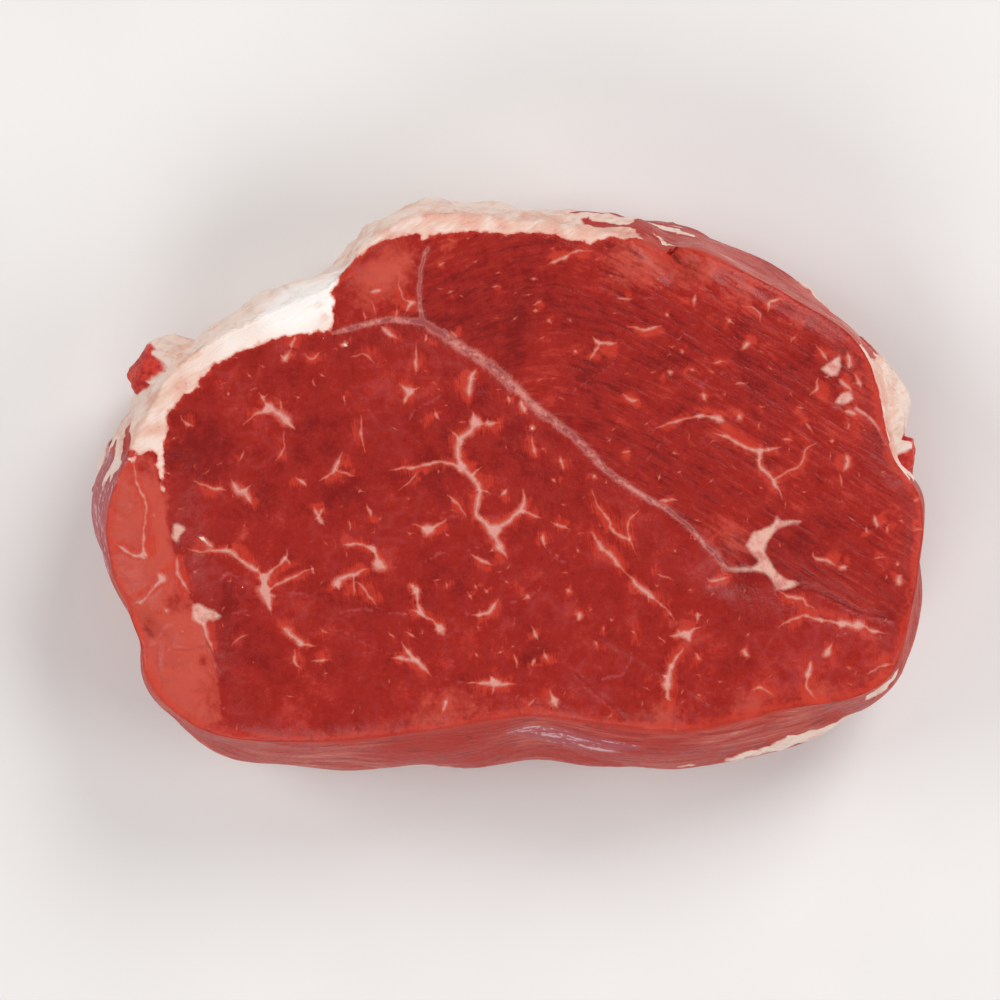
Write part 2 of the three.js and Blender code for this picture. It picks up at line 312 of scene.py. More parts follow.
# Lilac films between the bundles, thin and faint.
FILMS = [
    (2.5, [(380, 610), (400, 614), (417, 613)]),
    (2.5, [(441, 627), (461, 615), (476, 615)]),
    (2.5, [(496, 606), (511, 602), (527, 598), (543, 586), (549, 580)]),
    (2.5, [(419, 568), (433, 557), (447, 552), (466, 551), (486, 544)]),
    (2.5, [(429, 524), (447, 518), (466, 517), (476, 517)]),
    (2, [(496, 611), (504, 627), (502, 647), (498, 664)]),
    (2.5, [(431, 675), (449, 680), (470, 683)]),
    (2.5, [(512, 684), (525, 681), (533, 666)]),
    (2, [(537, 638), (540, 651), (534, 664)]),
    (3, [(592, 688), (606, 678), (621, 676), (631, 660), (631, 649)]),
    (2, [(564, 653), (566, 639), (584, 639)]),
    (3, [(221, 611), (236, 612), (251, 610)]),
    (3, [(219, 590), (221, 579), (232, 574), (245, 582), (250, 592)]),
    (3, [(278, 592), (301, 594), (320, 597)]),
    (3, [(335, 617), (345, 611), (367, 609), (386, 607)]),
    (2.5, [(324, 631), (345, 633), (370, 647), (397, 656)]),
    (2.5, [(262, 512), (276, 521), (290, 530)]),
    (2.5, [(400, 430), (417, 409), (437, 398), (452, 380)]),
    (2.5, [(560, 402), (578, 388), (600, 372), (622, 360)]),
    (2.5, [(631, 300), (652, 298), (676, 303)]),
    (2.5, [(690, 395), (712, 378), (735, 370)]),
    (2.5, [(727, 489), (742, 494), (752, 506)]),
    (2.5, [(385, 568), (398, 566)]),
    (2.5, [(545, 547), (560, 560), (575, 563)]),
    (2.5, [(640, 470), (655, 449), (668, 437)]),
]

# Silverskin between the muscles: width at each point.
SEAMS = [
    [(333, 333, 3), (345, 330, 5), (380, 321, 6), (400, 320, 6), (423, 323, 7), (441, 333, 8),
     (458, 345, 9), (476, 356, 9), (494, 368, 9), (511, 384, 9), (527, 399, 8), (543, 413, 7.5),
     (562, 427, 7), (576, 439, 7), (592, 455, 6.5), (609, 472, 6), (629, 486, 5), (645, 496, 4.5),
     (670, 511, 4.5), (691, 529, 4.5), (707, 547, 4.5), (717, 556, 6), (727, 569, 5), (746, 569, 5),
     (760, 568, 5)],
    [(428, 248, 4), (424, 256, 3.5), (420, 276, 3.5), (419, 294, 3.5), (422, 317, 4.5)],
    [(856, 408, 3.5), (871, 419, 3.5), (879, 429, 3.5), (891, 450, 3.5), (901, 468, 3.5), (912, 482, 3)],
]

# ---- Areas, as closed outlines in pixels of the photograph; they reach past the roast's own outline ----

FAT_AREAS = [
    # cap over the rear left flank
    [(90, 433), (117, 441), (128, 448), (140, 455), (148, 452), (155, 450), (158, 470), (163, 494),
     (165, 497), (164, 470), (165, 440), (170, 410), (185, 395), (198, 388), (200, 378), (215, 365),
     (232, 355), (250, 348), (268, 340), (290, 337), (310, 333), (331, 331), (334, 318), (334, 300),
     (333, 292), (337, 280), (347, 268), (360, 255), (380, 241), (400, 236), (420, 233), (424, 243),
     (429, 236), (437, 234), (472, 231), (509, 234), (535, 232), (556, 235), (572, 240), (590, 243),
     (603, 240), (606, 236), (628, 238), (644, 236), (640, 222), (628, 205), (600, 180), (400, 170),
     (280, 260), (150, 300), (70, 400)],
    # right flank
    [(868, 343), (875, 364), (880, 384), (882, 404), (886, 428), (893, 449), (903, 468), (911, 482),
     (909, 455), (906, 440), (925, 430), (930, 390), (910, 350), (880, 335)],
    # left of the pale lobe
    [(128, 457), (133, 455), (136, 460), (132, 464)],
]

# Pinkish pieces of fat and sinew in the cut face.
SINEW_AREAS = [
    # broad piece where the seam ends, the thread it draws out and its pale facet
    [(801, 522), (790, 521), (780, 521), (777, 516), (775, 523), (770, 527), (762, 530), (753, 533),
     (750, 539), (747, 545), (752, 553), (757, 558), (760, 564), (752, 568), (736, 568), (728, 569),
     (736, 571), (752, 571), (765, 572), (771, 577), (774, 584), (776, 590), (786, 589), (800, 584),
     (787, 580), (778, 574), (773, 567), (768, 560), (764, 551), (766, 543), (771, 535), (779, 527),
     (790, 524)],
    # knots by the right flank
    [(826, 366), (832, 362), (839, 356), (840, 366), (837, 375), (830, 375), (822, 369)],
    [(836, 403), (841, 394), (850, 391), (853, 398), (847, 403), (842, 405)],
    # left of the round muscle
    [(173, 525), (178, 524), (186, 529), (180, 534), (177, 541), (173, 539)],
    [(193, 606), (198, 604), (206, 609), (214, 611), (220, 616), (213, 621), (206, 618), (205, 627),
     (199, 622), (193, 620)],
]

# Red pits in the fat.
RED_AREAS = [
    [(879, 363), (884, 364), (886, 369), (880, 371)],
    [(889, 378), (895, 380), (895, 385), (890, 386)],
]

# The pale lobe at the left, which ends sharply against the round muscle.
LOBE_AREA = [
    (128, 456), (150, 452), (157, 470), (163, 500), (166, 520), (173, 545), (178, 560), (184, 580),
    (192, 600), (200, 612), (205, 630), (213, 650), (220, 680), (223, 720), (120, 760), (40, 600),
    (80, 450),
]

# Painted glints: small white specks of painted wet highlight, as width and points.
PAINTED_GLINTS = [
    (3, [(199, 537), (206, 541), (212, 547)]),
    (3, [(343, 344), (348, 346)]),
    (2, [(295, 460), (298, 462)]),
    (2.5, [(532, 427), (534, 430)]),
    (2, [(241, 587), (246, 592)]),
    (2.4, [(216, 595), (217, 597)]),
    (2.5, [(166, 610), (168, 613)]),
    (3, [(128, 458), (134, 461)]),
    (2, [(321, 337), (323, 339)]),
    (1.8, [(502, 411), (504, 413)]),
    (2, [(540, 385), (542, 386)]),
]

# Pale lilac membrane where it reaches the cut face.
MEMBRANE_AREAS = [
    [(95, 440), (127, 449), (131, 457), (120, 470), (110, 492), (103, 508), (101, 520), (104, 545),
     (108, 566), (70, 540), (70, 480)],
    [(644, 237), (660, 246), (676, 256), (682, 243), (700, 246), (730, 258), (760, 276), (790, 295),
     (812, 312), (835, 333), (866, 346), (880, 330), (700, 200), (640, 200)],
]

# What covers the flank: pixels of the edge above where it starts and ends, counterclockwise, its upper
# and lower limit in millimetres below the edge, and how square it is (2 is an oval).
FAT_COVERS = [
    ((622, 236), (97, 440), -14, 46, 4),
    ((912, 480), (868, 343), -12, 33, 4),
    ((680, 766), (916, 690), 15, 27, 1.5),
    ((390, 764), (486, 758), 21, 27, 1.3),
    ((862, 704), (915, 662), 3, 13, 1.6),
    ((210, 735), (330, 760), 29, 36, 1.3),
    ((846, 334), (760, 268), 27, 35, 1.4),
]
MEMBRANE_COVERS = [
    ((104, 437), (106, 572), -10, 41, 4),
    ((506, 737), (626, 729), 1, 13, 1.4),
    ((866, 346), (644, 237), -8, 30, 2),
]
RED_COVERS = [
    ((172, 335), (136, 392), 11, 25, 2),
    ((920, 486), (904, 432), 12, 29, 2),
]

# Tints of the fat, as soft spots: centre, radius and strength. Positive is peach, and negative white; the strong
# white spot in the middle of the cap is partly painted light, lifting a slope that lies in shade.
FAT_TINTS = [
    (480, 218, 60, 0.7), (560, 224, 50, 0.8), (430, 215, 40, 0.5), (620, 236, 30, 0.6), (885, 366, 28, 1.2),
    (893, 392, 28, 1.2), (900, 440, 28, 0.9), (150, 410, 40, 0.45), (190, 368, 30, 0.25), (120, 440, 24, 0.6),
    (285, 300, 46, -0.9), (340, 285, 40, -0.6), (230, 345, 30, -0.3), (380, 240, 34, 0.3),
]

# Tints of the lean, as soft spots: centre, radius and strength. Positive is paler and more orange, and
# negative darker and more purple.
TINTS = [
    (372, 285, 42, 0.75), (400, 262, 36, 0.6), (450, 245, 20, 0.5), (520, 246, 24, 0.35),
    (640, 258, 42, 0.75), (700, 266, 38, 0.7), (750, 286, 36, 0.55), (800, 326, 30, 0.45),
    (610, 280, 34, 0.3), (840, 350, 24, 0.4), (720, 330, 40, -0.15),
    (128, 520, 46, 1.0), (130, 575, 44, 1.0), (150, 640, 44, 0.75), (185, 640, 34, 0.6),
    (158, 500, 22, 0.8), (155, 690, 60, 0.6), (110, 500, 30, 0.7),
    (244, 535, 14, 0.55), (276, 400, 16, 0.55), (318, 384, 30, 0.25), (212, 512, 26, 0.3),
    (330, 470, 34, 0.25), (285, 600, 40, 0.25), (300, 690, 60, 0.3), (430, 720, 40, 0.55),
    (470, 700, 50, 0.4), (560, 715, 40, 0.35), (660, 718, 40, 0.65), (750, 708, 40, 0.7),
    (820, 700, 36, 0.7), (880, 680, 30, 0.6), (590, 640, 60, 0.12), (735, 545, 34, 0.6),
    (700, 520, 34, 0.3), (900, 520, 30, 0.25), (440, 530, 26, 0.3), (475, 480, 22, 0.3),
    (640, 600, 50, 0.22), (690, 640, 34, 0.45), (770, 420, 30, 0.1), (690, 450, 56, -0.2),
    (520, 300, 70, -0.45), (500, 320, 60, -0.3), (620, 380, 60, -0.3), (680, 380, 40, -0.2),
    (780, 390, 40, -0.5), (800, 360, 26, -0.3), (235, 592, 26, -0.9), (215, 575, 24, -0.5),
    (245, 640, 30, -0.7), (320, 590, 40, -0.35), (335, 612, 26, -0.4), (210, 470, 40, -0.5),
    (240, 460, 46, -0.4), (300, 440, 50, -0.3), (380, 520, 50, -0.35), (190, 440, 30, -0.4),
    (390, 430, 50, -0.4), (430, 490, 40, -0.4), (500, 450, 40, -0.45), (540, 490, 40, -0.3),
    (470, 560, 46, -0.35), (560, 600, 50, -0.15), (800, 540, 40, -0.35), (850, 590, 40, -0.3),
    (730, 600, 40, -0.3), (770, 660, 50, -0.15), (180, 500, 22, -0.4), (260, 350, 60, -0.2),
    (610, 560, 30, -0.2), (520, 620, 40, -0.2), (610, 660, 34, -0.25), (880, 440, 26, -0.3),
    (176, 602, 16, -0.5), (150, 626, 13, -0.9), (202, 662, 9, -0.5), (160, 664, 8, -0.4), (182, 637, 12, 0.3),
    (118, 590, 14, -0.35), (140, 470, 10, -0.3),
]

# Open creases of the cut face, sunk into its relief and darkened with painted shade: depth in millimetres, half
# width and points in pixels.
CREASES = [
    (0.6, 3.5, [(727, 571), (744, 571), (762, 573), (771, 583), (778, 593)]),
    (0.8, 4, [(799, 588), (812, 589), (824, 594), (840, 602), (865, 613), (895, 619)]),
    (0.5, 3.5, [(574, 672), (592, 689), (614, 708), (622, 718)]),
    (1.4, 4, [(653, 236), (663, 243), (672, 254), (679, 262)]),
    (0.4, 3, [(159, 646), (158, 655), (159, 672), (162, 690)]),
    (0.35, 3, [(160, 640), (166, 630), (179, 625), (194, 628)]),
    (0.45, 3, [(203, 646), (210, 656), (216, 672)]),
    (0.5, 3, [(203, 646), (188, 650), (172, 650)]),
    (0.9, 4, [(144, 628), (149, 631), (151, 636)]),
    (0.7, 3.5, [(836, 404), (843, 406), (852, 406)]),
    (0.5, 3.5, [(172, 524), (173, 532), (174, 542)]),
    (0.5, 3, [(100, 505), (112, 508), (118, 516)]),
]

# Steps of the cut face, where one side lies lower: drop in millimetres, fade in pixels, and a line whose
# right-hand side, looking along it, is the lower one.
STEP_DROP = 0.35
STEP_FADE = 40
STEP_LINE = [(715, 556), (744, 571), (771, 583), (799, 588), (824, 594), (840, 602), (865, 613), (900, 621)]

# ---- Strokes' raggedness, flecks and fibres ----

SEED = 11
ATTRIBUTES = (
    "vein", "glow", "seam", "film", "crease", "fat", "sinew", "red", "bright", "membrane", "tint", "peach",
    "upper", "flank", "edge", "blotch", "patch", "sheets", "lumps", "mosaic", "net", "layer",
)
FLECKS = 260
MARBLING_WIDTH = 0.84  # of the widths listed
SEAM_WIDTH = 0.85  # of the widths listed
THIN_STRENGTH = 0.32  # of the thinnest strokes
FULL_STRENGTH_HALF = 2.6  # pixels, half width by which the strength rises by one
SPUR_MIN_HALF = 1.5  # pixels
JOIN_GAP = 3.6  # pixels within which the end of a stroke meets another one
SPUR_SHARE = 0.08  # of a stroke's points
SPUR_REACH = (1.0, 4.0)  # pixels past the stroke's edge
GLOW_REACH = 8.5  # pixels
GLOW_DRIFT = 14  # pixels, how far the glow beside a stroke leans to one side

# The upper muscle's fibres run along an arched curve: they rise to its top, then fall.
ARCH_TOP = 548  # pixels across
ARCH_WIDTH = 70  # pixels over which they turn
ARCH_SLOPE = 0.62  # rise and fall far from the top
LOBE_TINT = 0.6


# ---- Lines ----


def smooth_line(points, step):
    """Points of a Catmull-Rom curve through the given ones, about step apart. Extra coordinates follow."""
    pts = np.array(points, dtype=float)
    if len(pts) == 2:
        pts = np.array([pts[0], (pts[0] + pts[1]) / 2, pts[1]])
    padded = np.vstack([2 * pts[0] - pts[1], pts, 2 * pts[-1] - pts[-2]])
    out = []
    for a, b, c, d in zip(padded, padded[1:], padded[2:], padded[3:]):
        count = max(1, int(round(np.linalg.norm(c[:2] - b[:2]) / step)))
        for t in np.arange(count) / count:
            out.append(
                b
                + 0.5 * t * (c - a)
                + t**2 * (a - 2.5 * b + 2 * c - 0.5 * d)
                + t**3 * (1.5 * b - 0.5 * a - 1.5 * c + 0.5 * d)
            )
    out.append(pts[-1])
    return np.array(out)


def sideways(line):
    """Unit vectors square to a line, at each of its points."""
    along = np.gradient(line[:, :2], axis=0)
    along /= np.linalg.norm(along, axis=1, keepdims=True) + 1e-9
    return np.stack([-along[:, 1], along[:, 0]], axis=1)


def wander(line, height, spacing, seed):
    """The line, shifted sideways by smooth noise, with its ends held."""
    sway = [noise.noise(Vector((x / spacing, y / spacing, seed))) for x, y in line[:, :2]]
    reach = np.linspace(0, 1, len(line))
    hold = np.clip(np.minimum(reach, 1 - reach) * 5, 0, 1)
    moved = line.copy()
    moved[:, :2] += sideways(line) * (np.array(sway) * hold)[:, None] * height
    return moved


def end_taper(share, joined):
    """Width towards an end of a stroke: drawn out thin, or flared where it joins another stroke."""
    if joined:
        return 1.3 - 0.3 * np.clip(share * 4, 0, 1)
    return np.clip(share * 3.2 + 0.2, 0, 1)


def stroke(width, points, seed, joined=(False, False)):
    """A marbling stroke as rows of x, y and half width."""
    line = wander(smooth_line(points, STROKE_STEP), 1.8, 8.0, seed)
    reach = np.linspace(0, 1, len(line))
    taper = end_taper(reach, joined[0]) * end_taper(1 - reach, joined[1])
    swell = [noise.noise(Vector((x / 8, y / 8, seed + 40))) for x, y in line[:, :2]]
    nicks = [noise.noise(Vector((x / 2.5, y / 2.5, seed + 60))) for x, y in line[:, :2]]
    uneven = np.clip(1 + 0.7 * np.array(swell) + 0.26 * np.array(nicks), 0.3, 1.7)
    return np.column_stack([line[:, :2], width / 2 * MARBLING_WIDTH * taper * uneven])


def joined_ends(index, listed):
    """Whether each end of a listed stroke meets a point of another one."""
    others = np.array([p for i, (_, line) in enumerate(listed) if i != index for p in line])
    line = listed[index][1]
    return tuple(np.hypot(*(others - end).T).min() < JOIN_GAP for end in (line[0], line[-1]))


def spurs(line, rng):
    """Short side fibres that leave a stroke, more of them on its thick stretches."""
    found = []
    across = sideways(line)
    for (x, y, half), (sx, sy) in zip(line[1:-1], across[1:-1]):
        if half < SPUR_MIN_HALF or rng.random() > SPUR_SHARE:
            continue
        side = rng.choice((-1, 1))
        lean = rng.uniform(-0.7, 0.7)
        dx, dy = side * sx - lean * sy, side * sy + lean * sx
        reach = half + rng.uniform(*SPUR_REACH)
        ends = [(x, y), (x + dx * reach, y + dy * reach)]
        found.append(stroke(rng.uniform(1.2, 2.0), ends, rng.uniform(0, 50)))
    return found


class Lines:
    """Distances to a set of strokes, each given as rows of x, y and half width."""

    def __init__(self, strokes):
        dense = [self.dense(s) for s in strokes]
        self.rows = np.vstack(dense)
        self.owner = np.concatenate([np.full(len(d), i) for i, d in enumerate(dense)])
        self.tree = kdtree.KDTree(len(self.rows))
        for index, (x, y, _) in enumerate(self.rows):
            self.tree.insert((x, y, 0), index)
        self.tree.balance()

    @staticmethod
    def dense(rows):
        steps = np.arange(0, len(rows) - 1, 0.25)
        steps = np.append(steps, len(rows) - 1)
        return np.column_stack([np.interp(steps, np.arange(len(rows)), rows[:, k]) for k in range(3)])

    def nearest(self, x, y, count=3):
        """(distance, half width) of a few of the nearest points."""
        return [(d, self.rows[i][2]) for _, i, d in self.tree.find_n((x, y, 0), count)]

    def cover(self, x, y):
        """1 on a thick stroke's middle line, less on a thin one, and half as much at its edge. Strokes
        that meet are webbed together."""
        best = {}
        for _, index, distance in self.tree.find_n((x, y, 0), 32):
            half = self.rows[index][2]
            share = distance / max(half, 0.35)
            if share < 3:
                owner = self.owner[index]
                value = min(1, THIN_STRENGTH + half / FULL_STRENGTH_HALF) * 0.5 ** (share * share)
                best[owner] = max(best.get(owner, 0), value)
        return min(1, sum(best.values()))


def area_distance(points, outline):
    """Signed distance of each point from a closed outline, positive inside."""
    ring = np.array(outline, dtype=float)
    after = np.roll(ring, -1, axis=0)
    inside = np.zeros(len(points), dtype=bool)
    nearest = np.full(len(points), 1e9)
    x, y = points[:, 0], points[:, 1]
    for (ax, ay), (bx, by) in zip(ring, after):
        crosses = (ay > y) != (by > y)
        with np.errstate(divide="ignore", invalid="ignore"):
            left = x < (bx - ax) * (y - ay) / (by - ay) + ax
        inside ^= crosses & left
        ex, ey = bx - ax, by - ay
        t = np.clip(((x - ax) * ex + (y - ay) * ey) / (ex * ex + ey * ey), 0, 1)
        nearest = np.minimum(nearest, np.hypot(x - ax - t * ex, y - ay - t * ey))
    return np.where(inside, nearest, -nearest)


# ---- The photograph's pixels ----


def to_photo(points):
    """Pixels at which the camera sees points of the roast."""
    scale = FOCAL_PIXELS / (CAMERA_HEIGHT - points[:, 2])
    across = PHOTO_MIDDLE + (points[:, 0] - CAMERA_X) * scale
    down = PHOTO_MIDDLE - (points[:, 1] - CAMERA_Y) * scale
    return np.stack([across, down], axis=1)


def from_photo(pixels, height):
    """Where the sight lines of pixels pass through a height."""
    scale = (CAMERA_HEIGHT - height) / FOCAL_PIXELS
    x = CAMERA_X + (pixels[:, 0] - PHOTO_MIDDLE) * scale
    y = CAMERA_Y - (pixels[:, 1] - PHOTO_MIDDLE) * scale
    return np.stack([x, y], axis=1)


# ---- The form, from the CAD node ----


def smooth_form(node):
    """A search tree of the CAD solid with its facets rounded off, in millimetres."""
    mesh = node.data.copy()
    form = bpy.data.objects.new("form", mesh)
    bpy.context.scene.collection.objects.link(form)
    weld = form.modifiers.new("weld", "WELD")
    weld.merge_threshold = 1e-6
    rounding = form.modifiers.new("rounding", "SUBSURF")
    rounding.levels = 2
    rounding.render_levels = 2
    depsgraph = bpy.context.evaluated_depsgraph_get()
    evaluated = form.evaluated_get(depsgraph)
    smooth = evaluated.to_mesh()
    vertices = [v.co / MM for v in smooth.vertices]
    faces = [p.vertices[:] for p in smooth.polygons]
    evaluated.to_mesh_clear()
    bpy.data.objects.remove(form)
    bpy.data.meshes.remove(mesh)
    return BVHTree.FromPolygons(vertices, faces)


def height_over(tree, x, y, default):
    hit = tree.ray_cast(Vector((x, y, 90)), Vector((0, 0, -1)))[0]
    return default if hit is None else hit.z


def height_under(tree, x, y, default):
    hit = tree.ray_cast(Vector((x, y, -40)), Vector((0, 0, 1)))[0]
    return default if hit is None else hit.z


def corner_ring(tree, upward):
    """The form's upper or lower edge, as the point furthest out and up (or down) at each of many turns."""
    turns = np.arange(720) * 2 * math.pi / 720
    ring = []
    for turn in turns:
        best = None
        for radius in np.arange(45, 125, 0.4):
            x, y = radius * math.cos(turn), radius * math.sin(turn)
            origin = Vector((x, y, 90 if upward else -40))
            hit = tree.ray_cast(origin, Vector((0, 0, -1 if upward else 1)))[0]
            if hit is None:
                continue
            score = radius + EDGE_RISE * (hit.z if upward else -hit.z)
            if best is None or score > best[0]:
                best = (score, radius, hit.z)
        ring.append(best[1:])
    ring = np.array(ring)
    radii = smooth_ring(ring[:, 0])
    heights = []
    for turn, radius, fallback in zip(turns, radii, ring[:, 1]):
        x, y = radius * math.cos(turn), radius * math.sin(turn)
        level = height_over(tree, x, y, fallback) if upward else height_under(tree, x, y, fallback)
        heights.append(level)
    return turns, radii, smooth_ring(np.array(heights))


def smooth_ring(values):
    """A ring of values without their jumps."""
    reach = RING_MEDIAN // 2
    wrapped = np.concatenate([values[-reach:], values, values[:reach]])
    steady = np.array([np.median(wrapped[i : i + RING_MEDIAN]) for i in range(len(values))])
    kernel = np.array([1, 2, 3, 2, 1]) / 9
    return np.convolve(np.concatenate([steady[-2:], steady, steady[:2]]), kernel, mode="valid")


def even_turns(turns, radii, count):
    """Turns that space count points evenly along a closed edge."""
    closed_turns = np.append(turns, 2 * math.pi)
    closed_radii = np.append(radii, radii[0])
    x, y = closed_radii * np.cos(closed_turns), closed_radii * np.sin(closed_turns)
    run = np.concatenate([[0], np.cumsum(np.hypot(np.diff(x), np.diff(y)))])
    return np.interp(np.arange(count) / count * run[-1], run, closed_turns)


def at_turns(turns, known_turns, values):
    return np.interp(turns, np.append(known_turns, 2 * math.pi), np.append(values, values[0]))


# ---- The three sheets of the skin ----


def hexagonal_grid(ring, spacing, rng):
    """Points of a slightly shaken hexagonal grid over the box of a ring."""
    low, high = ring.min(axis=0), ring.max(axis=0)
    points = []
    for row, y in enumerate(np.arange(low[1], high[1], spacing * math.sqrt(0.75))):
        for x in np.arange(low[0] + spacing / 2 * (row % 2), high[0], spacing):
            points.append((x + rng.uniform(-0.2, 0.2) * spacing, y + rng.uniform(-0.2, 0.2) * spacing))
    return np.array(points)


def thin_out(points, gap, taken=None):
    """The points, in order, that keep a gap to those taken and to each other."""
    cells = {}

    def near(x, y):
        cx, cy = int(x // gap), int(y // gap)
        for i in (cx - 1, cx, cx + 1):
            for j in (cy - 1, cy, cy + 1):
                for px, py in cells.get((i, j), ()):
                    if (px - x) ** 2 + (py - y) ** 2 < gap * gap:
                        return True
        return False

    def put(x, y):
        cells.setdefault((int(x // gap), int(y // gap)), []).append((x, y))

    if taken is not None:
        for x, y in taken:
            put(x, y)
    kept = []
    for x, y in points:
        if not near(x, y):
            put(x, y)
            kept.append((x, y))
    return np.array(kept).reshape(-1, 2)


def triangulate(ring, inner):
    """Triangles over a ring and the points inside it, as indices into ring followed by inner."""
    points = [Vector(p) for p in np.vstack([ring, inner])]
    count = len(ring)
    out = delaunay_2d_cdt(points, [], [list(range(count))], 1, 1e-6)
    _, _, faces, sources = out[0], out[1], out[2], out[3]
    first = [s[0] for s in sources]
    return [tuple(first[i] for i in face) for face in faces]


def stroke_rows(strokes):
    """Pixels of the rows of mesh points that follow strokes: their middles, edges and fades."""
    rows = []
    for line in strokes:
        across = sideways(line)
        half = line[:, 2:3]
        rows.append(line[:, :2])
        for side in (-1, 1):
            rows.append(line[:, :2] + side * across * half)
            rows.append(line[:, :2] + side * across * (half + STROKE_EDGE))
    return np.vstack(rows)


def top_points(tree, ring, strokes, rng):
    """Plan points of the upper cut face, dense along the strokes."""
    pixels = stroke_rows(strokes)
    plan = from_photo(pixels, CUT_HEIGHT)
    heights = np.array([height_over(tree, x, y, CUT_HEIGHT) for x, y in plan])
    plan = np.stack(
        [
            CAMERA_X + (pixels[:, 0] - PHOTO_MIDDLE) * (CAMERA_HEIGHT - heights) / FOCAL_PIXELS,
            CAMERA_Y - (pixels[:, 1] - PHOTO_MIDDLE) * (CAMERA_HEIGHT - heights) / FOCAL_PIXELS,
        ],
        axis=1,
    )
    plan = plan[area_distance(plan, ring) > 0.35]
    plan = thin_out(plan, 0.2)
    grid = hexagonal_grid(ring, TOP_SPACING, rng)
    grid = grid[area_distance(grid, ring) > 0.5]
    tree_2d = kdtree.KDTree(len(plan))
    for index, (x, y) in enumerate(plan):
        tree_2d.insert((x, y, 0), index)
    tree_2d.balance()
    clear = [p for p in grid if tree_2d.find((p[0], p[1], 0))[2] > 0.45]
    return np.vstack([plan, clear])


class Skin:
    """Vertices and faces of the whole skin, with what part of it each vertex belongs to."""

    TOP, FLANK, UNDER = 0, 1, 2

    def __init__(self, tree, strokes):
        rng = random.Random(SEED)
        turns, radii, heights = corner_ring(tree, upward=True)
        under_turns, under_radii, under_heights = corner_ring(tree, upward=False)
        columns = even_turns(turns, radii, COLUMNS)
        rim_radius = at_turns(columns, turns, radii)
        rim_height = at_turns(columns, turns, heights)
        foot_radius = at_turns(columns, under_turns, under_radii)
        foot_height = at_turns(columns, under_turns, under_heights)
        unit = np.stack([np.cos(columns), np.sin(columns)], axis=1)
        rim = unit * rim_radius[:, None]
        foot = unit * foot_radius[:, None]

        inner = top_points(tree, rim, strokes, rng)
        faces = triangulate(rim, inner)
        heights_in = [height_over(tree, x, y, CUT_HEIGHT) for x, y in inner]
        vertices = [np.column_stack([rim, rim_height]), np.column_stack([inner, heights_in])]
        kinds = [self.TOP] * (len(rim) + len(inner))

        start = len(rim) + len(inner)
        for row in range(1, FLANK_ROWS):
            share = row / FLANK_ROWS
            level = rim_height + (foot_height - rim_height) * share
            vertices.append(self.flank_row(tree, unit, level, rim_radius, foot_radius, share))
        kinds += [self.FLANK] * (COLUMNS * (FLANK_ROWS - 1))
        self.add_flank_faces(faces, start)

        foot_start = start + COLUMNS * (FLANK_ROWS - 1)
        grid = hexagonal_grid(foot, UNDER_SPACING, rng)
        grid = grid[area_distance(grid, foot) > 0.7]
        depths = [height_under(tree, x, y, 0) for x, y in grid]
        vertices += [np.column_stack([foot, foot_height]), np.column_stack([grid, depths])]
        kinds += [self.UNDER] * (len(foot) + len(grid))
        faces += [tuple(foot_start + i for i in reversed(f)) for f in triangulate(foot, grid)]

        self.points = np.vstack(vertices)
        self.kinds = np.array(kinds)
        self.faces = faces
        self.rim = rim
        self.rim_count = COLUMNS

    @staticmethod
    def flank_row(tree, unit, level, rim_radius, foot_radius, share):
        """One ring of the flank, at a height of its own in each column."""
        row = []
        for (ux, uy), z, rim, foot in zip(unit, level, rim_radius, foot_radius):
            hit = tree.ray_cast(Vector((ux * 160, uy * 160, z)), Vector((-ux, -uy, 0)))[0]
            plain = rim + (foot - rim) * share
            radius = plain if hit is None else math.hypot(hit.x, hit.y)
            row.append((ux * radius, uy * radius, z))
        return np.array(row)

    @staticmethod
    def add_flank_faces(faces, start):
        for row in range(FLANK_ROWS):
            above = 0 if row == 0 else start + (row - 1) * COLUMNS
            below = start + row * COLUMNS
            for column in range(COLUMNS):
                following = (column + 1) % COLUMNS
                quad = (above + column, below + column, below + following, above + following)
                if (row + column) % 2:
                    faces.append((quad[0], quad[1], quad[2]))
                    faces.append((quad[0], quad[2], quad[3]))
                else:
                    faces.append((quad[0], quad[1], quad[3]))
                    faces.append((quad[1], quad[2], quad[3]))


# ---- What each vertex shows ----


def fade(values, low, high):
    share = np.clip((values - low) / (high - low), 0, 1)
    return share * share * (3 - 2 * share)


def fibre_frame(pixels):
    """Run along and across the upper muscle's arched fibres, in pixels."""
    along = pixels[:, 0]
    across = pixels[:, 1] - ARCH_SLOPE * np.hypot(along - ARCH_TOP, ARCH_WIDTH)
    return along, across


def noise_at(points, spacing, seed, octaves=1):
    """Smooth noise of about -1 to 1 at each point."""
    out = np.empty(len(points))
    scale = np.array(spacing, dtype=float)
    for i, p in enumerate(points / scale):
        at = Vector((p[0], p[1], p[2] + seed))
        if octaves == 1:
            out[i] = noise.noise(at)
        else:
            out[i] = noise.fractal(at, 0.9, 2.1, octaves)
    return out


def seam_lines():
    lines = []
    for seam in SEAMS:
        line = smooth_line(seam, STROKE_STEP)
        line[:, 2] *= SEAM_WIDTH / 2
        lines.append(wander(line, 1.6, 11.0, 3.0))
    return lines


def random_flecks(rng, clear_of):
    """Short pale flecks that the listed marbling leaves out."""
    flecks = []
    while len(flecks) < FLECKS:
        x, y = rng.uniform(110, 920), rng.uniform(215, 735)
        if clear_of.nearest(x, y, 1)[0][0] < 7:
            continue
        turn = math.radians(rng.uniform(-35, 100) if y > 420 else rng.uniform(-35, 25))
        reach = rng.uniform(0.7, 2.6)
        ends = [(x - reach * math.cos(turn), y + reach * math.sin(turn))]
        ends.append((x + reach * math.cos(turn), y - reach * math.sin(turn)))
        flecks.append(stroke(rng.uniform(1.0, 2.3), ends, rng.uniform(0, 50)))
    return flecks


